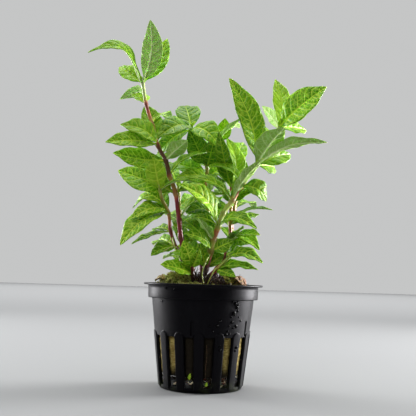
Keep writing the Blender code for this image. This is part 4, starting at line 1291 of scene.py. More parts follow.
# The nearly black end of the ramp serves as painted shade at the stems' feet.
stops = [
    (0.0, paint(184, 208, 132)), (0.2, paint(158, 176, 72)), (0.42, paint(178, 142, 70)),
    (0.6, paint(176, 88, 62)), (0.76, paint(128, 22, 40)), (1.0, paint(28, 10, 12)),
]
for k, (place, colour) in enumerate(stops):
    stop = ramp.color_ramp.elements[k] if k < 2 else ramp.color_ramp.elements.new(place)
    stop.position, stop.color = place, colour
browner = times(tree, brown, fade(tree, shifted, 0.6, 0.8))
browned = blend(tree, browner, ramp.outputs["Color"], paint(84, 44, 18))
ringed = blend(tree, times(tree, near, 0.35), browned, paint(74, 56, 28))
feed(shader, "Base Color", ringed)
feed(shader, "Roughness", fade(tree, streaks, 0.3, 0.7, 0.3, 0.5))
ridges = cloud(tree, stretched(tree, here, (4.0, 4.0, 0.5)), 1.0, 2.0)
feed(shader, "Normal", bump(tree, ridges, 0.15, 0.5))
print("stem ramp:", len(stops), "colours")

# %% Put the stems in place
for name, stem in STEMS.items():
    mesh = stalk_mesh(name, stem)
    mesh.materials.append(stem_skin)
    show(name + "_stalk", mesh, "leaf", name)
print("stem heights in mm:", {name: stem.nodes[-1][2] for name, stem in STEMS.items()})

# %% [markdown]
# ## The net pot
# The pot is injection-moulded black polypropylene: a thin tapering wall with tall slots, raised pads
# between them, a collar and a turned-out rim. A lathe shape with holes cut by Booleans would leave
# long thin faces that shade badly. So the wall is a grid whose columns run along the edges of the
# slots: cells inside a slot are left out, and the pads and grooves are pushed out or in with soft
# edges.

# %% Pot sizes
POT_HEIGHT = 47.0
POT_WALL = 1.0
POT_FLOOR = 1.4
FOOT_RADIUS = 18.75
FOOT_ROUNDING = 1.2
SHOULDER_RADIUS = 23.5
COLLAR_RADIUS = 25.3
COLLAR_BOTTOM = 40.3
RIM_RADIUS = 27.5
RIM_THICKNESS = 0.9
SLOT_COUNT = 15
SLOT_PITCH = 2 * math.pi / SLOT_COUNT
FIRST_SLOT = math.radians(9)
SLOT_BOTTOM = 2.2
SLOT_TOP = 24.0
SLOT_HALF_ANGLE = math.radians(5.72)
RIB_PROUD = 0.5
RIB_BOTTOM = 1.2
RIB_TOP = 26.0
RIB_HALF_TOP = 2.2
RIB_HALF_BOTTOM = 1.75
GROOVE_COUNT = 5
FIRST_GROOVE = math.radians(-11)
GROOVE_HALF = 0.65
GROOVE_BOTTOM = 24.6
GROOVE_TOP = 31.0
GROOVE_DEPTH = 0.5
DRAIN_COUNT = 6
DRAIN_INNER = 7.5
DRAIN_OUTER = 14.5
DRAIN_HALF = 1.25
SLOT_CELLS = 12
WEB_CELLS = 18
RELIEF_EDGE = 0.28


def wall_radius(z):
    """Outer radius of the tapered wall, in millimetres."""
    return FOOT_RADIUS + (SHOULDER_RADIUS - FOOT_RADIUS) * z / COLLAR_BOTTOM


# %% The wall's profile
def spaced(start, end, step):
    """Even heights from start up to but not including end, about a step apart."""
    count = max(1, round((end - start) / step))
    return [start + (end - start) * k / count for k in range(count)]


def rounded(centre_radius, centre_z, size, start, end, steps):
    """Points on an arc of a turned edge, by angles in degrees from outward."""
    angles = [math.radians(start + (end - start) * k / steps) for k in range(steps + 1)]
    return [(centre_radius + size * math.cos(a), centre_z + size * math.sin(a)) for a in angles]


WALL_HEIGHTS = (
    [FOOT_ROUNDING]
    + spaced(FOOT_ROUNDING + 0.25, SLOT_BOTTOM, 0.25)
    + spaced(SLOT_BOTTOM, SLOT_TOP, 1.0)
    + spaced(SLOT_TOP, 26.4, 0.2)
    + spaced(26.4, 30.4, 1.0)
    + spaced(30.4, 31.6, 0.2)
    + spaced(31.6, COLLAR_BOTTOM, 1.6)
)


def outside_profile():
    """(radius, height) up the outside, from the middle of the underside to the rim's top."""
    foot_centre = wall_radius(FOOT_ROUNDING) - FOOT_ROUNDING
    foot = [(radius, 0.0) for radius in (0.6, 4, 8, 12, 15.5)]
    foot += rounded(foot_centre, FOOT_ROUNDING, FOOT_ROUNDING, -90, -15, 5)
    wall = [(wall_radius(z), z) for z in WALL_HEIGHTS]
    rim_bottom = POT_HEIGHT - RIM_THICKNESS
    rim = [(SHOULDER_RADIUS - 0.05, COLLAR_BOTTOM - 0.1), (SHOULDER_RADIUS + 0.1, COLLAR_BOTTOM)]
    rim += [(COLLAR_RADIUS - 0.5, COLLAR_BOTTOM + 0.02)]
    rim += rounded(COLLAR_RADIUS - 0.35, COLLAR_BOTTOM + 0.37, 0.35, -75, 0, 4)
    rim += [(COLLAR_RADIUS + 0.04, 42.5), (COLLAR_RADIUS + 0.08, 44.8)]
    rim += [(COLLAR_RADIUS + 0.12, rim_bottom - 0.25), (COLLAR_RADIUS + 0.35, rim_bottom)]
    rim += [(RIM_RADIUS - 0.6, rim_bottom + 0.02)]
    rim += rounded(RIM_RADIUS - 0.42, POT_HEIGHT - 0.45, 0.42, -80, 80, 8)
    return foot + wall + rim


def inside_profile():
    """(radius, height) down the inside, with the same heights as the outside where the slots are."""
    collar = COLLAR_RADIUS - POT_WALL
    top = [(RIM_RADIUS - 1.4, POT_HEIGHT), (collar + 0.3, POT_HEIGHT), (collar, POT_HEIGHT - 0.3)]
    top += [(collar, 43.6), (collar, COLLAR_BOTTOM + 0.9), (SHOULDER_RADIUS - POT_WALL, COLLAR_BOTTOM - 0.6)]
    wall = [(wall_radius(z) - POT_WALL, z) for z in reversed(WALL_HEIGHTS) if z > POT_FLOOR + 0.2 and z < 39]
    floor_edge = wall_radius(POT_FLOOR) - POT_WALL
    return top + wall + [(floor_edge, POT_FLOOR)] + [(radius, POT_FLOOR) for radius in (15.5, 12, 8, 4, 0.6)]


# %% [markdown]
# ## Pads, grooves and slots
# A pad or groove is a number for each point of the wall: how far it lies inside the outline, in
# millimetres, turned into a step with a soft edge. The slots need no sum, because the grid's columns
# already run along them.

# %% Columns of the wall
def column_angles():
    """Angles of the grid's columns, and whether the cells after each lie within a slot's width."""
    angles, in_slot = [], []
    web = SLOT_PITCH - 2 * SLOT_HALF_ANGLE
    for k in range(SLOT_COUNT):
        left = FIRST_SLOT + k * SLOT_PITCH - SLOT_HALF_ANGLE
        angles += [left + 2 * SLOT_HALF_ANGLE * j / SLOT_CELLS for j in range(SLOT_CELLS)]
        angles += [left + 2 * SLOT_HALF_ANGLE + web * j / WEB_CELLS for j in range(WEB_CELLS)]
        in_slot += [True] * SLOT_CELLS + [False] * WEB_CELLS
    return np.array(angles), in_slot


def soft(inside):
    """0 outside an outline, 1 well inside it, from the distance inside in millimetres."""
    share = np.clip(inside / RELIEF_EDGE + 0.5, 0, 1)
    return share * share * (3 - 2 * share)


def from_nearest(angles, first, pitch):
    """Angle to the nearest of evenly spaced marks."""
    return (angles - first + pitch / 2) % pitch - pitch / 2


# %% Relief of the wall
def relief(angles, radius, z):
    """How far the wall stands out at a height, in millimetres: pads between the slots, grooves above."""
    across = np.abs(from_nearest(angles, FIRST_SLOT + SLOT_PITCH / 2, SLOT_PITCH)) * radius
    straight_top = RIB_TOP - RIB_HALF_TOP
    half = RIB_HALF_BOTTOM + (RIB_HALF_TOP - RIB_HALF_BOTTOM) * min(1, z / straight_top)
    if z > straight_top:
        inside = RIB_HALF_TOP - np.hypot(across, z - straight_top)
    else:
        inside = np.minimum(half - across, z - RIB_BOTTOM)
    groove_across = np.abs(from_nearest(angles, FIRST_GROOVE, 2 * math.pi / GROOVE_COUNT)) * radius
    in_groove = np.minimum(GROOVE_HALF - groove_across, min(z - GROOVE_BOTTOM, GROOVE_TOP - z))
    return RIB_PROUD * soft(inside) - GROOVE_DEPTH * soft(in_groove)


# %% Faces round the slots
def quad(number, row, other_row, column, other_column):
    """The four points where two rows of the grid cross two columns."""
    return (number[row, column], number[row, other_column],
            number[other_row, other_column], number[other_row, column])


def slot_sides(profile, outside_rows, number, in_slot):
    """Quads that join the outer and the inner wall round each slot."""
    def beside_slot(radius, z):
        return radius > 16 and SLOT_BOTTOM - 0.01 < z < SLOT_TOP + 0.01

    by_height = {round(z, 4): k for k, (_, z) in enumerate(profile) if k >= outside_rows}
    pairs = [(k, by_height[round(z, 4)]) for k, (radius, z) in enumerate(profile[:outside_rows])
             if beside_slot(radius, z)]
    faces = []
    count = number.shape[1]
    for column in range(count):
        if in_slot[column]:
            faces += [quad(number, *pair, column, (column + 1) % count) for pair in (pairs[0], pairs[-1])]
        if in_slot[column] != in_slot[column - 1]:
            faces += [(number[a, column], number[b, column], number[d, column], number[c, column])
                      for (a, c), (b, d) in zip(pairs, pairs[1:])]
    return faces


# %% The wall's mesh
def pot_mesh():
    angles, in_slot = column_angles()
    outside, inside = outside_profile(), inside_profile()
    profile = outside + inside
    count = len(angles)
    points = []
    for k, (radius, z) in enumerate(profile):
        on_wall = k < len(outside) and FOOT_ROUNDING <= z < COLLAR_BOTTOM - 0.2 and radius > 15
        out = radius + (relief(angles, radius, z) if on_wall else 0)
        points.append(np.stack([out * np.sin(angles), -out * np.cos(angles), np.full(count, z)], -1))
    number = np.arange(len(profile) * count).reshape(-1, count)

    def open_cell(row, column):
        low, high = sorted((profile[row][1], profile[row + 1][1]))
        on_wall = min(profile[row][0], profile[row + 1][0]) > 16
        return in_slot[column] and on_wall and low > SLOT_BOTTOM - 0.01 and high < SLOT_TOP + 0.01

    faces = []
    for row in range(len(profile) - 1):
        for column in range(count):
            if not open_cell(row, column):
                faces.append(quad(number, row, row + 1, column, (column + 1) % count))
    faces += [tuple(number[0, ::-1]), tuple(number[-1, :])]
    faces += slot_sides(profile, len(outside), number, in_slot)
    mesh = bpy.data.meshes.new("pot")
    mesh.from_pydata((np.concatenate(points) * MM).tolist(), [], [[int(n) for n in face] for face in faces])
    return mesh


# %% Drain holes
def drain_cutters():
    """Boxes through the floor, as one mesh."""
    points, faces = [], []
    for k in range(DRAIN_COUNT):
        angle = 2 * math.pi * k / DRAIN_COUNT
        across = Vector((math.cos(angle), math.sin(angle), 0))
        along = Vector((math.sin(angle), -math.cos(angle), 0))
        first = len(points)
        for z in (-1.0, POT_FLOOR + 1.0):
            for side, reach in ((-1, DRAIN_INNER), (1, DRAIN_INNER), (1, DRAIN_OUTER), (-1, DRAIN_OUTER)):
                points.append((across * side * DRAIN_HALF + along * reach + Vector((0, 0, z))) * MM)
        box = [(3, 2, 1, 0), (4, 5, 6, 7)] + [(j, (j + 1) % 4, 4 + (j + 1) % 4, 4 + j) for j in range(4)]
        faces += [tuple(first + n for n in face) for face in box]
    mesh = bpy.data.meshes.new("drains")
    mesh.from_pydata([tuple(point) for point in points], [], faces)
    return mesh


# %% Cutting one mesh out of another
def turned_outwards(mesh):
    """Turns the faces of a closed mesh so that they look outwards."""
    form = bmesh.new()
    form.from_mesh(mesh)
    bmesh.ops.recalc_face_normals(form, faces=form.faces)
    form.to_mesh(mesh)
    form.free()


def cut(mesh, cutter_mesh):
    """A new mesh: the first one without what the cutter takes out of it."""
    pair = [bpy.data.objects.new("for a cut", own) for own in (mesh, cutter_mesh)]
    for obj in pair:
        turned_outwards(obj.data)
        bpy.context.scene.collection.objects.link(obj)
    step = pair[0].modifiers.new("cut", "BOOLEAN")
    step.operation, step.solver, step.object = "DIFFERENCE", "EXACT", pair[1]
    done = bpy.data.meshes.new_from_object(pair[0].evaluated_get(bpy.context.evaluated_depsgraph_get()))
    for obj in pair:
        bpy.data.objects.remove(obj)
    done.materials.clear()
    return done


# %% Put the pot in place
SHARP_EDGE = math.radians(42)
mesh = cut(pot_mesh(), drain_cutters())
mesh.polygons.foreach_set("use_smooth", [True] * len(mesh.polygons))
mesh.set_sharp_from_angle(angle=SHARP_EDGE)
pot = show("black_net_pot", mesh, "pot", "net_pot")
print("pot:", len(pot.data.polygons), "faces")

# %% [markdown]
# ## Black plastic
# The moulding is satin black with a cold sheen. A real pot that has stood in a wet greenhouse isn't
# clean: a thin film with dried drops dulls it, and it is a little green just above the foot, where water
# stands.

# %% Pot material
made, tree, shader = new_material("pot_plastic", specular_ior_level=0.12)
feed(shader, "Specular Tint", (0.9, 0.86, 1.0, 1))
here = millimetres(tree)
film = mottled(tree, here, 9.0, 1.3)
runs = cloud(tree, stretched(tree, here, (0.55, 0.55, 0.06)), 1.0, 3.0)
filmed = times(tree, fade(tree, film, 0.42, 0.85), fade(tree, runs, 0.4, 0.75))
black = blend(tree, times(tree, filmed, 0.16), paint(1, 1, 2), paint(36, 37, 39))
low = times(tree, fade(tree, split(tree, here)["Z"], 7.0, 0.5), fade(tree, film, 0.45, 0.7))
feed(shader, "Base Color", blend(tree, times(tree, low, 0.5), black, paint(52, 60, 26)))
grain = cloud(tree, here, 2.6, 3.0)
dulled = fade(tree, film, 0.3, 0.8, 0.36, 0.47)
feed(shader, "Roughness", plus(tree, dulled, times(tree, grain, 0.06)))
feed(shader, "Normal", bump(tree, grain, 0.02, 0.6))
pot.data.materials.append(made)
print("pot material:", len(tree.nodes), "nodes")

# %% [markdown]
# ## Rock wool
# The plug is spun stone: fine tan fibres pressed into a cylinder, which the grower splits to lay the
# stems in. It fills the pot and swells a little into each slot. Its skin is a grid that follows the CAD
# plug, and noise drawn out sideways lays the fibres in layers. The top is lumpy, and heaped up at the
# left under the moss.

# %% Form of the plug
PLUG_BOTTOM = 6.6
PLUG_EDGE_TOP = 44.0
PLUG_CROWN = 2.0
PLUG_LUMP = 0.55
HEAP_CENTRE = (-13.0, -8.0)
HEAP_HEIGHT = 5.8
HEAP_SPREAD = 9.0
WOOL_GAP = 0.3
WOOL_COLUMNS = 330
WOOL_SIDE_ROWS = 84
WOOL_TOP_RINGS = 52
SIDE_SUNK = 0.3
TOP_INSET = 1.4
SLOT_SWELL = 0.75
SLOT_SWELL_HALF = 1.9


def plug_radius(z):
    return wall_radius(z) - POT_WALL - WOOL_GAP


def heap_share(x, y):
    """1 on the middle of the heap at the left, 0 far from it."""
    away = (x - HEAP_CENTRE[0]) ** 2 + (y - HEAP_CENTRE[1]) ** 2
    return math.exp(-away / HEAP_SPREAD**2)


def plug_top(x, y):
    """Height of the plug's top in millimetres, as in the CAD source."""
    away = math.hypot(x, y) / plug_radius(PLUG_EDGE_TOP)
    broad = math.sin(0.64 * x + 1) * math.cos(0.56 * y)
    fine = math.sin(1.3 * x - 0.9 * y)
    crown = PLUG_CROWN * (1 - away**2)
    return PLUG_EDGE_TOP + crown + PLUG_LUMP * (broad + 0.6 * fine) + HEAP_HEIGHT * heap_share(x, y)


def lumps(x, y, z, across, upright):
    """Noise about 0 with lumps of a given size across and upright, in millimetres."""
    return noise.noise(Vector((x / across, y / across, z / upright)))


# %% [markdown]
# The side's skin stays just inside the wall, sunk in shallow dents, except in the slots, where the wool
# bulges out. The top is rougher and has small pits.

# %% The plug's skin
def turned_place(angle, radius):
    return radius * math.sin(angle), -radius * math.cos(angle)


def swell_in_slot(angle, radius, z):
    """0 behind the wall to 1 in the middle of a slot."""
    across = abs(float(from_nearest(np.array(angle), FIRST_SLOT, SLOT_PITCH))) * radius
    inside = min(SLOT_SWELL_HALF - across, z - SLOT_BOTTOM, SLOT_TOP - z)
    return min(1, max(0, inside / 0.9)) ** 0.7


def side_point(angle, z):
    radius = plug_radius(z)
    x, y = turned_place(angle, radius)
    rough = 0.3 * lumps(x, y, z, 3.5, 1.6) + 0.16 * lumps(x, y, z, 1.1, 0.45)
    rough += 0.07 * lumps(x, y, z, 0.45, 0.3)
    rounding = 0.9 * max(0, 1 - (z - PLUG_BOTTOM) / 1.2) ** 2 + 1.1 * max(0, (z - 42.3) / 1.7) ** 2
    out = radius - SIDE_SUNK + rough + SLOT_SWELL * swell_in_slot(angle, radius, z) - rounding
    return *turned_place(angle, out), z


def top_point(angle, share):
    radius = (plug_radius(PLUG_EDGE_TOP) - TOP_INSET) * share
    x, y = turned_place(angle, radius)
    rough = 0.55 * lumps(x, y, 50, 2.6, 1) + 0.35 * lumps(x, y, 60, 1.0, 1) + 0.14 * lumps(x, y, 70, 0.4, 1)
    return x, y, plug_top(x, y) + rough


def wool_looks(x, y, z):
    """How mossy, how wet and how brown the wool is at a point, with painted shade. Its front, which the side
    lamps don't reach, is painted dark as shade, and it darkens towards the bottom.
    """
    painted_front_shade = max(0, math.cos(math.atan2(x, -y) + 0.05)) ** 12 * min(1, math.hypot(x, y) / 15) * (z < 42)
    moss = 0.75 * heap_share(x, y) * (z > 40) + 0.5 * (lumps(x, y, z, 5, 7) + 0.15) + 0.25 * (z > 42)
    wet_and_shade = 0.9 * max(0, 1 - (z - PLUG_BOTTOM) / 7) + 0.4 * max(0, lumps(x, y, z, 7, 9)) + 2.0 * painted_front_shade
    brown = 0.5 + 0.9 * lumps(x, y, z, 2.2, 1.2)
    return moss, wet_and_shade, brown


# %% The plug's mesh
def wool_mesh():
    turns = [2 * math.pi * k / WOOL_COLUMNS for k in range(WOOL_COLUMNS)]
    step = (PLUG_EDGE_TOP - PLUG_BOTTOM) / WOOL_SIDE_ROWS
    foot_radius = plug_radius(PLUG_BOTTOM) - 1.2
    rings = [[(*turned_place(turn, share * foot_radius), PLUG_BOTTOM) for turn in turns]
             for share in (0.05, 0.5, 0.9)]
    rings += [[side_point(turn, PLUG_BOTTOM + step * k) for turn in turns] for k in range(WOOL_SIDE_ROWS + 1)]
    rings += [[top_point(turn, 1 - k / WOOL_TOP_RINGS) for turn in turns] for k in range(WOOL_TOP_RINGS)]
    number = np.arange(len(rings) * WOOL_COLUMNS).reshape(-1, WOOL_COLUMNS)
    after = np.roll(number, -1, axis=1)
    quads = np.stack([number[:-1], after[:-1], after[1:], number[1:]], -1).reshape(-1, 4).tolist()
    quads += [number[0, ::-1].tolist(), number[-1].tolist()]
    points = [point for ring in rings for point in ring]
    mesh = smooth_mesh("rock_wool", [placed(point) for point in points], quads)
    store(mesh, "wool_look", [wool_looks(*point) for point in points])
    return mesh


wool = show("rock_wool", wool_mesh(), "plug", "rockwool_plug")
print("rock wool:", len(wool.data.polygons), "faces")

# %% [markdown]
# ## Loose fibres
# Torn ends of the wool stand off its face. Each is a thin bent tube that starts just under the skin and
# comes to a point, so that the wool has a soft edge in a slot and on top.

# %% Thin tubes
def thin_tube(path, radius, end_radius, sides=4):
    """Points and faces of a tube along a path in millimetres, thinner at its end."""
    last = len(path) - 1
    radii = [radius + (end_radius - radius) * k / last for k in range(last + 1)]
    return tube(path, radii, sides)


def joined_tubes(name, tubes, looks=None):
    """One mesh of many thin tubes. Each tube's look is a (first, second, third) value for its points."""
    points, faces, held = [], [], []
    for k, (own, own_faces) in enumerate(tubes):
        first = len(points)
        points += own
        faces += [tuple(first + n for n in face) for face in own_faces]
        if looks:
            held += looks[k]
    mesh = smooth_mesh(name, [point * MM for point in points], faces)
    if looks:
        store(mesh, name + "_look", held)
    return mesh


def wandering(start, heading, length, steps, sway, rng):
    """A path that sets off in a direction and bends a little at every step."""
    path, going = [start], heading.normalized()
    for _ in range(steps):
        path.append(path[-1] + going * length / steps)
        going = (going + Vector([rng.uniform(-sway, sway) for _ in range(3)])).normalized()
    return path


# %% Fibres in the slots and on top
FIBRES_IN_SLOTS = 420
FIBRES_ON_TOP = 420
FIBRE_RADIUS = 0.075
SLOT_HALF_TURN = 0.075
rng = random.Random(21)
fibres, looks = [], []
for k in range(FIBRES_IN_SLOTS):
    turn = FIRST_SLOT + (k % SLOT_COUNT) * SLOT_PITCH + rng.uniform(-SLOT_HALF_TURN, SLOT_HALF_TURN)
    start = Vector(side_point(turn, rng.uniform(PLUG_BOTTOM + 0.4, SLOT_TOP - 1)))
    outward = Vector((math.sin(turn), -math.cos(turn), 0))
    along = Vector((math.cos(turn), math.sin(turn), rng.uniform(-0.9, 0.9))) * rng.choice((-1, 1))
    heading = along + outward * rng.uniform(0.1, 0.45)
    path = wandering(start - outward * 0.2, heading, rng.uniform(1.0, 2.2), 4, 0.45, rng)
    fibres.append(thin_tube(path, FIBRE_RADIUS, FIBRE_RADIUS * 0.4))
    looks.append([wool_looks(*start)] * len(fibres[-1][0]))
for _ in range(FIBRES_ON_TOP):
    x, y, z = top_point(rng.uniform(0, 2 * math.pi), math.sqrt(rng.uniform(0.01, 0.98)))
    heading = Vector((rng.uniform(-1, 1), rng.uniform(-1, 1), rng.uniform(0.05, 0.5)))
    path = wandering(Vector((x, y, z - 0.15)), heading, rng.uniform(1.5, 4), 5, 0.4, rng)
    fibres.append(thin_tube(path, FIBRE_RADIUS, FIBRE_RADIUS * 0.4))
    looks.append([wool_looks(x, y, z)] * len(fibres[-1][0]))
loose = show("wool_fibres", joined_tubes("wool", fibres, looks), "plug")
print(len(fibres), "loose fibres")

# %% [markdown]
# ## Wool material
# Clean rock wool is pale tan. Wet wool that has fed a plant is olive and brown, with a green film of algae
# where light falls on it, and it is darker towards the bottom. Its front, which the side lamps don't reach,
# is painted nearly black as shade. The fibres lie in layers, so the fine pattern is drawn out sideways.

# %% Wool colours
made, tree, shader = new_material("spun_wool", roughness=0.9, specular_ior_level=0.2)
moss, wet_and_shade, brown = stored(tree, "wool_look")
here = millimetres(tree)
layers = cloud(tree, stretched(tree, here, (0.5, 0.5, 2.4)), 1.0, 4.0, 0.65)
specks = mottled(tree, here, 1.3, 1.5)
tan = blend(tree, fade(tree, layers, 0.3, 0.7), paint(128, 110, 50), paint(196, 178, 108))
tan = blend(tree, fade(tree, brown, 0.35, 1.0, 0.0, 0.6), tan, paint(116, 84, 34))
stains = mottled(tree, here, 3.2, 1.9)
tan = blend(tree, fade(tree, stains, 0.5, 0.85, 0.0, 0.75), tan, paint(72, 50, 18))
green = blend(tree, fade(tree, specks, 0.35, 0.7), paint(58, 62, 20), paint(120, 122, 50))
mossy = plus(tree, moss, times(tree, specks, 0.3))
grown = blend(tree, fade(tree, mossy, 0.35, 0.85), tan, green)
# Wet wool darkens, and the near black at the front is painted shade.
soaked_and_shaded = fade(tree, plus(tree, wet_and_shade, times(tree, specks, 0.4)), 0.5, 1.3, 0.0, 0.985)
feed(shader, "Base Color", blend(tree, soaked_and_shaded, grown, paint(17, 12, 6)))
feed(shader, "Normal", bump(tree, layers, 0.35, 0.7))
for piece in (wool, loose):
    piece.data.materials.append(made)
print("wool material:", len(tree.nodes), "nodes")

# %% [markdown]
# ## Moss
# A cushion of moss has grown over the heap and here and there between the stems. It is made of many short
# shoots that stand close together in tufts. Each leans its own way, dark at its foot and light at its tip,
# and a few are dead and tan. The dark feet are partly painted shade down among the shoots, the light tips
# partly a painted highlight, and the short tufts between the tall clumps are painted darker as shade.

# %% Moss shoots
MOSS_TUFTS = 760
SHOOTS_PER_TUFT = 4
SHOOT_STEPS = 3
DEAD_SHOOTS = 0.18
MOSS_RADIUS = 0.29
rng = random.Random(8)


def moss_place():
    """A random place on the plug's top: two in three on the heap, the others in patches elsewhere."""
    while True:
        turn, share = rng.uniform(0, 2 * math.pi), math.sqrt(rng.uniform(0, 1))
        x, y, z = top_point(turn, share)
        on_heap = heap_share(x, y) > rng.uniform(0.08, 0.9)
        in_patch = lumps(x, y, 5, 4, 1) > 0.22 and rng.random() < 0.35
        if on_heap or in_patch:
            return Vector((x, y, z))


def outward_at(point):
    """The direction that the plug's top faces at a point."""
    step = 0.4
    fall_x = (plug_top(point.x + step, point.y) - plug_top(point.x - step, point.y)) / (2 * step)
    fall_y = (plug_top(point.x, point.y + step) - plug_top(point.x, point.y - step)) / (2 * step)
    return Vector((-fall_x, -fall_y, 1)).normalized()


# %% Grow the moss
shoots, looks = [], []
for _ in range(MOSS_TUFTS):
    foot = moss_place()
    out = outward_at(foot)
    # Short, low clumps are painted darker as shade between the tall ones.
    clump = min(1, max(0, 0.5 + 1.5 * lumps(foot.x, foot.y, 9, 2.3, 1)))
    tuft_shade = 0.2 * rng.random() + 0.8 * clump
    tuft_length = rng.uniform(0.4, 0.9) + 1.7 * clump
    for _ in range(SHOOTS_PER_TUFT):
        lean = Vector([rng.uniform(-0.9, 0.9) for _ in range(3)])
        start = foot + Vector((rng.uniform(-0.3, 0.3), rng.uniform(-0.3, 0.3), 0)) - out * 0.35
        path = wandering(start, out + lean * 0.7, tuft_length * rng.uniform(0.7, 1.2), SHOOT_STEPS, 0.5, rng)
        radius = MOSS_RADIUS * rng.uniform(0.7, 1.2)
        shoots.append(thin_tube(path, radius, radius * 0.3))
        dead = float(rng.random() < DEAD_SHOOTS)
        looks.append([(k / SHOOT_STEPS, tuft_shade, dead) for k in range(SHOOT_STEPS + 1) for _ in range(4)])
moss_piece = show("moss", joined_tubes("moss", shoots, looks), "plug")

# %% Moss colours
made, tree, shader = new_material("moss", roughness=0.75, specular_ior_level=0.3)
height, shade, dead = stored(tree, "moss_look")
here = millimetres(tree)
patches = mottled(tree, here, 2.5, 1.4)
# The tone follows the clump: painted shade in the low clumps, with a little random tone of its own.
tone = plus(tree, times(tree, shade, 0.5), times(tree, patches, 0.5))
tip_green = blend(tree, tone, paint(112, 128, 38), paint(200, 204, 116))
living = blend(tree, fade(tree, height, 0.0, 0.9), paint(30, 32, 10), tip_green)
straw = blend(tree, fade(tree, height, 0.0, 0.9), paint(52, 38, 14), paint(170, 146, 84))
feed(shader, "Base Color", blend(tree, dead, living, straw))
moss_piece.data.materials.append(made)
print("moss:", len(shoots), "shoots")

# %% [markdown]
# ## Old roots and litter
# Between the feet of the stems lies deep, nearly black shade. Old roots, dead leaf stalks and wet litter
# stand there in a tangle a few millimetres high, which also keeps light from shining through under the
# leaves. It is made of bent strands that come up out of the wool, and their near-black brown is partly
# painted shade.

# %% Litter
LITTER_STRANDS = 520
LITTER_MIDDLE = Vector((3.0, 1.0))
LITTER_REACH = 14.0
rng = random.Random(17)
litter, looks = [], []
for _ in range(LITTER_STRANDS):
    turn, away = rng.uniform(0, 2 * math.pi), LITTER_REACH * math.sqrt(rng.uniform(0, 1))
    x, y = LITTER_MIDDLE + Vector((math.cos(turn), math.sin(turn))) * away
    foot = Vector((x, y, plug_top(x, y) - 0.3))
    heading = Vector((rng.uniform(-0.9, 0.9), rng.uniform(-0.9, 0.9), rng.uniform(0.5, 1.3)))
    path = wandering(foot, heading, rng.uniform(3.5, 9.5), 6, 0.45, rng)
    litter.append(thin_tube(path, rng.uniform(0.2, 0.45), 0.12))
    looks.append([(rng.random(), 0.0, 0.0)] * (4 * len(path)))
litter_piece = show("litter", joined_tubes("litter", litter, looks), "plug")
print("litter:", len(litter), "strands")

# %% Colour of the litter
made, tree, shader = new_material("old_root_and_shade", roughness=0.6, specular_ior_level=0.3)
age = stored(tree, "litter_look")[0]
spots = mottled(tree, millimetres(tree), 1.2, 1.4)
# Near-black brown, partly painted shade between the feet of the stems.
dark_and_shade = blend(tree, age, paint(20, 12, 10), paint(66, 38, 26))
feed(shader, "Base Color", blend(tree, fade(tree, spots, 0.5, 0.9), dark_and_shade, paint(96, 74, 40)))
litter_piece.data.materials.append(made)
print("litter material:", len(tree.nodes), "nodes")

# %% [markdown]
# ## Roots
# Below the plug the roots spread like the spokes of a wheel over the pot's floor, as in the CAD model,
# with thin side roots. A few more hang out of the wool behind the slots, where the photo shows pale
# loops. Young roots are cream, and older ones tan with brown flecks.

# %% Root paths
ROOT_COUNT = 11
ROOT_RADIUS = 0.5
ROOT_REACH = 15.5
ROOT_SHARES = (0.12, 0.4, 0.62, 0.82, 1)
ROOT_SWAY_FROM = 0.3
ROOT_SPREAD = 0.2
ROOT_WANDER = 0.14
ROOT_HUB_RADIUS = 4.5
ROOT_SEED = 11
ROOT_LOW = POT_FLOOR + WOOL_GAP
ROOT_MIDDLE = (ROOT_LOW + PLUG_BOTTOM) / 2
ROOT_HALF = (PLUG_BOTTOM - ROOT_LOW) / 2 - WOOL_GAP
SIDE_ROOTS = 7
HANGING_ROOTS = 26
TANGLE_LOOPS = 14
POINTS_PER_LOOP = 12
CAUGHT_ROOT = [(6.3, 21), (7.2, 16), (6.2, 10.5), (7.0, 6.5)]
PALE_BITS = [(-36.6, 3.5), (-13.2, 4.2), (29.7, 3.0), (-70.8, 3.6)]
PALE_BIT_TURN = 0.035


# %% Lines of the roots
def main_root_paths():
    """The CAD model's root paths, drawn with the same chances, in millimetres."""
    rng = random.Random(ROOT_SEED)
    paths = []
    for k in range(ROOT_COUNT):
        angle = 2 * math.pi * (k + rng.uniform(-ROOT_SPREAD, ROOT_SPREAD)) / ROOT_COUNT
        path = []
        for share in ROOT_SHARES:
            turn = angle + rng.uniform(-ROOT_WANDER, ROOT_WANDER) * share
            sway = rng.uniform(-1, 1) * (ROOT_HALF - 2 * ROOT_RADIUS) if share > ROOT_SWAY_FROM else 0
            path.append(Vector((*turned_place(turn, ROOT_REACH * share), ROOT_MIDDLE + sway)))
        paths.append(path)
    return paths


def in_root_space(point):
    """The point, moved back between the pot's floor and the wool and inside the wall if need be."""
    point.z = min(max(point.z, ROOT_LOW + 0.1), PLUG_BOTTOM + 0.3)
    reach = math.hypot(point.x, point.y)
    most = wall_radius(point.z) - POT_WALL - 0.25
    if reach > most:
        point.x, point.y = point.x * most / reach, point.y * most / reach
    return point


# %% Main roots and side roots
rng = random.Random(31)
strands, ages = [], []


def add_strand(path, radius, end_radius, age):
    strands.append(thin_tube(path, radius, end_radius, 6))
    ages.append([(age, k / (len(path) - 1), 0.0) for k in range(len(path)) for _ in range(6)])


for path in main_root_paths():
    fine = smooth_path(path, 7)
    add_strand(fine, ROOT_RADIUS, ROOT_RADIUS * 0.55, rng.uniform(0.6, 1.0))
    for _ in range(SIDE_ROOTS):
        start = fine[rng.randrange(4, len(fine))]
        heading = Vector((rng.uniform(-1, 1), rng.uniform(-1, 1), rng.uniform(-0.4, 0.4)))
        side_root = wandering(start, heading, rng.uniform(3, 7), 7, 0.4, rng)
        add_strand([in_root_space(point) for point in side_root], 0.17, 0.08, rng.uniform(0.4, 1.0))
print(len(strands), "roots on the pot's floor")

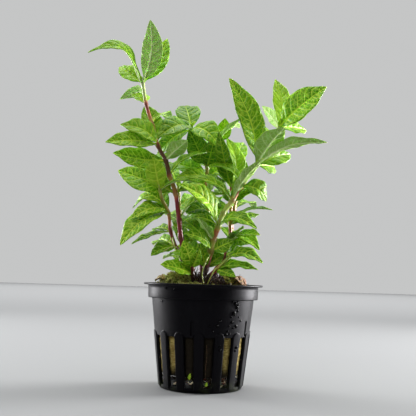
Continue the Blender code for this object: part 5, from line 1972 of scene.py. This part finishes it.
# %% Roots behind the slots and in the tangle
for _ in range(HANGING_ROOTS):
    turn = rng.uniform(0, 2 * math.pi)
    start = Vector((*turned_place(turn, 14.8), PLUG_BOTTOM + 0.2))
    heading = Vector((*turned_place(turn + rng.uniform(-1.2, 1.2), 1), -0.8))
    hanging = wandering(start, heading, rng.uniform(5, 11), 10, 0.55, rng)
    add_strand([in_root_space(point) for point in hanging], 0.24, 0.12, rng.uniform(0.3, 1.0))
for k in range(TANGLE_LOOPS):
    circle = [
        Vector((
            *turned_place(2 * math.pi * j / POINTS_PER_LOOP + k, ROOT_HUB_RADIUS * rng.uniform(0.55, 0.95)),
            ROOT_MIDDLE + rng.uniform(-1, 1) * (ROOT_HALF - 0.5),
        ))
        for j in range(POINTS_PER_LOOP)
    ]
    add_strand(smooth_path(circle, 3), 0.34, 0.25, rng.uniform(0.6, 1))
for degrees, z in PALE_BITS:
    turn = math.radians(degrees)
    inside = wall_radius(z) - POT_WALL - 0.5
    bit = [(*turned_place(turn + step * PALE_BIT_TURN, inside), z + 0.5 * math.sin(step * 2 + degrees))
           for step in range(-2, 3)]
    add_strand([in_root_space(Vector(point)) for point in bit], 0.42, 0.3, 0.0)
caught = [(*turned_place(math.radians(degrees), plug_radius(z) + 0.5), z) for degrees, z in CAUGHT_ROOT]
add_strand(smooth_path([Vector(point) for point in caught], 5), 0.13, 0.08, 0.85)
root_piece = show("roots", joined_tubes("root", strands, ages), "root", "root_tangle")
print(len(strands), "roots")

# %% Colour of the roots
made, tree, shader = new_material("root_skin", roughness=0.6, subsurface_weight=0.2)
feed(shader, "Subsurface Scale", 0.6 * MM)
age = stored(tree, "root_look")[0]
here = millimetres(tree)
flecks = mottled(tree, here, 1.6, 1.6)
cream = blend(tree, fade(tree, flecks, 0.4, 0.75), paint(226, 216, 186), paint(190, 168, 118))
old = blend(tree, fade(tree, flecks, 0.35, 0.7), paint(92, 70, 38), paint(44, 30, 15))
feed(shader, "Base Color", blend(tree, fade(tree, age, 0.25, 0.8, 0.0, 1.0), cream, old))
root_piece.data.materials.append(made)
print("root material:", len(tree.nodes), "nodes")

# %% [markdown]
# ## Withered leaves
# Three dead leaves lie on the wool by the rim. They were leaves like the others, so the same blade makes
# them. Drying has crumpled them, which noise does here, and has turned them from olive to brown, with
# dark rotten spots and pale papery ones.

# %% Crumpled blades
CRUMPLE = 0.5
CRUMPLE_SIZE = 2.1
CRUMPLE_SEED = 4
WITHERED_TONES = {"withered_leaf_long": 0.2, "withered_leaf_short": 0.65, "withered_scrap": 0.95}


def crumple(mesh, depth):
    """Moves the points of a mesh by smooth noise, as drying does. The seed makes each run the same."""
    noise.seed_set(CRUMPLE_SEED)
    count = len(mesh.vertices)
    flat = np.empty(3 * count)
    mesh.vertices.foreach_get("co", flat)
    points = flat.reshape(-1, 3)
    moved = [noise.noise_vector(Vector(point / MM) / CRUMPLE_SIZE) * depth * MM for point in points]
    mesh.vertices.foreach_set("co", (points + np.array(moved)).ravel())
    mesh.update()


def lowest(obj):
    return min((obj.matrix_world @ Vector(corner)).z for corner in obj.bound_box)


# %% Colours of a withered leaf
withered_blade, tree, shader = new_material("withered_blade", roughness=0.7, subsurface_weight=0.15)
feed(shader, "Subsurface Scale", 0.6 * MM)
tone, strength, shift = stored(tree, "leaf_look")
drawn = drawn_veins(tree, shift)
here = millimetres(tree)
spots = mottled(tree, here, 1.7, 2.2)
wide_spots = mottled(tree, here, 4.5, 1.8)
light = fade(tree, spots, 0.3, 0.7)
olive = blend(tree, light, paint(64, 50, 14), paint(134, 124, 44))
brown = blend(tree, light, paint(84, 46, 18), paint(140, 92, 42))
yellow = blend(tree, light, paint(92, 72, 22), paint(136, 112, 42))
dry = blend(tree, fade(tree, tone, 0.2, 0.6), olive, brown)
dry = blend(tree, fade(tree, tone, 0.7, 0.95), dry, yellow)
rotten = blend(tree, fade(tree, wide_spots, 0.62, 0.8, 0.0, 0.75), dry, paint(30, 20, 10))
ribs = times(tree, calc(tree, "MAXIMUM", drawn["Midrib"], drawn["Side"]), 0.5)
feed(shader, "Base Color", blend(tree, ribs, rotten, paint(176, 150, 90)))
feed(shader, "Normal", bump(tree, drawn["Height"], 0.3, 0.8))
print("withered material:", len(tree.nodes), "nodes")

# %% Lay the withered leaves down
for name, (foot, tip, face, arch, width) in WITHERED.items():
    leaf = Leaf(0, tip, face, arch, width, look="deep_shaded")
    coarse = blade(leaf, placed(foot), placed(tip), SMALL_LEAF_STATIONS, LEAF_THICKNESS)[0]
    drop = Vector((0, 0, min(point.z for point in coarse) - lowest(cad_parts[name])))
    mesh = join_leaves(name, [(leaf, placed(foot) - drop, placed(tip) - drop)], np.random.default_rng(4))
    for value in mesh.attributes["leaf_look"].data:
        value.vector = (WITHERED_TONES[name], 1.0, 3.0)
    crumple(mesh, CRUMPLE)
    mesh.polygons.foreach_set("material_index", [0] * len(mesh.polygons))
    mesh.materials.append(withered_blade)
    show(name + "_dry", mesh, "withered", name)
print("3 withered leaves")

# %% [markdown]
# ## Strands and scraps
# Low in the bush the photo shows pale strands that cross the stems: leaf stalks whose blades are gone and
# young roots from the nodes. They are bent tubes through points read from the photo. Two scraps of green
# leaf are caught in the front slots, between the wool and the wall.

# %% Pale strands
STRAND_RADIUS = 0.42
STRAND_END_RADIUS = 0.2
STRANDS = {
    "stem_left": [
        [(-15.0, -1.5, 68.0), (-13.4, -6.0, 63.0), (-12.3, -8.5, 58.3)],
        [(-13.0, -0.5, 63.5), (-15.1, -8.0, 63.2), (-18.7, -10.0, 61.0)],
        [(-12.5, -0.5, 62.5), (-10.8, -8.0, 57.4), (-8.0, -11.0, 50.5), (-7.5, -12.0, 48.0)],
    ],
    "stem_right": [
        [(2.6, -8.5, 60.5), (0.5, -13.5, 56.0), (-0.6, -14.5, 51.5), (0.2, -14.0, 46.8)],
        [(5.6, -12.5, 54.2), (3.9, -14.0, 51.6), (1.6, -14.0, 46.6)],
    ],
    "stem_tall": [
        [(-9.5, -4.5, 62.0), (-9.0, -9.0, 56.5), (-6.5, -10.5, 51.5), (-6.0, -11.5, 47.5)],
    ],
}
STRAND_REDNESS = 0.2


def strand_mesh(name, lines):
    """Thin bent tubes with the same stored values as a stem."""
    paths = [smooth_path([Vector(point) for point in line], 6) for line in lines]
    tubes = [thin_tube(path, STRAND_RADIUS, STRAND_END_RADIUS, 6) for path in paths]
    looks = [[(STRAND_REDNESS, 0.0, 0.0)] * len(points) for points, _ in tubes]
    return joined_tubes("stalk", tubes, looks)


for name, lines in STRANDS.items():
    mesh = strand_mesh(name, lines)
    mesh.materials.append(stem_skin)
    show(name + "_strands", mesh, "leaf", name)
print("strands on", len(STRANDS), "stems")

# %% Leaf scraps in the slots
# Turn in degrees, lowest and highest point and width in millimetres
SCRAPS = [(-15.0, 5.6, 8.6, 1.5), (7.0, 3.0, 5.0, 1.3)]
scraps = []
for degrees, low, high, width in SCRAPS:
    turn = math.radians(degrees)
    outward = (math.sin(turn), -math.cos(turn), 0.1)
    foot = (*turned_place(turn, wall_radius(low) - POT_WALL + 0.3), low)
    tip = (*turned_place(turn + 0.03, wall_radius(high) - POT_WALL + 0.4), high)
    # The scraps take the darkest look, partly painted shade inside the slots.
    scraps.append((Leaf(0, tip, outward, 0.2, width, look="deep_shaded"), placed(foot), placed(tip)))
mesh = join_leaves("leaf_scraps", scraps, np.random.default_rng(12))
for look in (upper_green, under_green):
    mesh.materials.append(look)
show("leaf_scraps", mesh, "plug", "rockwool_plug")
print(len(SCRAPS), "scraps of leaf")


# %% [markdown]
# ## Water drops
# Small drops of water cling to the pot, most of them right of the middle. A drop on a steep wall is
# flattened against it and hangs a little below its own middle. It lets the light through to the black
# plastic, which swallows it, so a drop looks black with a tiny light on it. The drops are therefore
# glossy black beads, which look the same as clear ones and cost less to render.

# %% Drops on the wall
# Turn to the right of the viewer in degrees, height and radius in millimetres
DROP_SCALE = 1.35
DROPS = [
    (34, 39.7, 0.35), (38, 39.0, 0.5), (41, 39.6, 0.3), (40.5, 37.5, 0.55), (42.4, 38.4, 0.35),
    (37, 34.9, 0.65), (38.5, 34.2, 0.4), (42.6, 35.8, 0.35), (34, 33.2, 0.35), (35.5, 31.0, 0.45),
    (42, 29.2, 0.5), (37.8, 28.4, 0.3), (19, 31.0, 0.4), (17, 29.5, 0.45), (21.3, 31.5, 0.3),
    (32, 29.3, 0.3), (29, 25.6, 0.45), (33.8, 25.9, 0.3), (45.3, 33.1, 0.3), (31, 27.1, 0.3),
    (8.4, 29.3, 0.35), (12.7, 27.2, 0.35), (-50.2, 39.1, 0.3), (48.4, 31.5, 0.35), (-29.5, 44.6, 0.3),
    (-39.4, 44.9, 0.3), (45.2, 20.0, 0.45), (44, 18.6, 0.35), (22, 19.0, 0.4), (21, 20.4, 0.3),
]
DROP_SIDES = 20
DROP_RINGS = 9
DROP_FLATNESS = 0.5
DROP_SAG = 0.22
DROP_STANDOFF = 0.35


# %% Shape of a drop
def drop_shape(middle, outward, radius):
    """Points and faces of one drop: a flattened ball whose lower half is drawn down."""
    up = (Vector((0, 0, 1)) - outward * outward.z).normalized()
    side = outward.cross(up)
    points = []
    for ring in range(1, DROP_RINGS):
        polar = math.pi * ring / DROP_RINGS
        for j in range(DROP_SIDES):
            turn = 2 * math.pi * j / DROP_SIDES
            high = math.sin(polar) * math.sin(turn)
            sagged = high - DROP_SAG * (1 - high) * math.sin(polar)
            out = math.cos(polar) * DROP_FLATNESS
            offset = side * math.sin(polar) * math.cos(turn) + up * sagged + outward * out
            points.append(middle + offset * radius)
    faces = tube_quads(DROP_RINGS - 1, DROP_SIDES)
    last = (DROP_RINGS - 2) * DROP_SIDES
    faces += [tuple(range(DROP_SIDES - 1, -1, -1)), tuple(range(last, last + DROP_SIDES))]
    return points, faces


# %% Put the drops on the wall
mould = BVHTree.FromObject(pot, bpy.context.evaluated_depsgraph_get())
shapes = []
for degrees, z, small_radius in DROPS:
    turn, radius = math.radians(degrees), small_radius * DROP_SCALE
    outward = Vector((math.sin(turn), -math.cos(turn), 0))
    hit, facing, _, _ = mould.ray_cast(placed((outward.x * 40, outward.y * 40, z)), -outward)
    middle = hit / MM + facing * radius * DROP_FLATNESS * DROP_STANDOFF
    shapes.append(drop_shape(middle, facing, radius))
drops = show("water_drops", joined_tubes("water_drops", shapes), "pot")
turned_outwards(drops.data)
print(len(DROPS), "drops")

# %% Water
made, tree, shader = new_material("water", ior=1.33, specular_ior_level=0.16)
feed(shader, "Base Color", paint(1, 1, 2))
ripple = mottled(tree, millimetres(tree), 0.6, 0.6)
feed(shader, "Roughness", fade(tree, ripple, 0.3, 0.7, 0.0, 0.03))
drops.data.materials.append(made)
print("water material:", len(tree.nodes), "nodes")

# %% [markdown]
# ## The floor
# The plant stands on a plain pale sheet, as in a studio.

# %% Floor
FLOOR_HALF = 3.0
corners = [(-1, -1), (1, -1), (1, 1), (-1, 1)]
floor_mesh = bpy.data.meshes.new("floor")
floor_mesh.from_pydata([(x * FLOOR_HALF, y * FLOOR_HALF, 0) for x, y in corners], [], [(0, 1, 2, 3)])
floor = bpy.data.objects.new("floor", floor_mesh)
bpy.context.scene.collection.objects.link(floor)
made, tree, shader = new_material("pale_sheet", roughness=0.75, specular_ior_level=0.2)
feed(shader, "Base Color", (0.25, 0.254, 0.258, 1))
floor.data.materials.append(made)
print("floor:", 2 * FLOOR_HALF, "m wide")
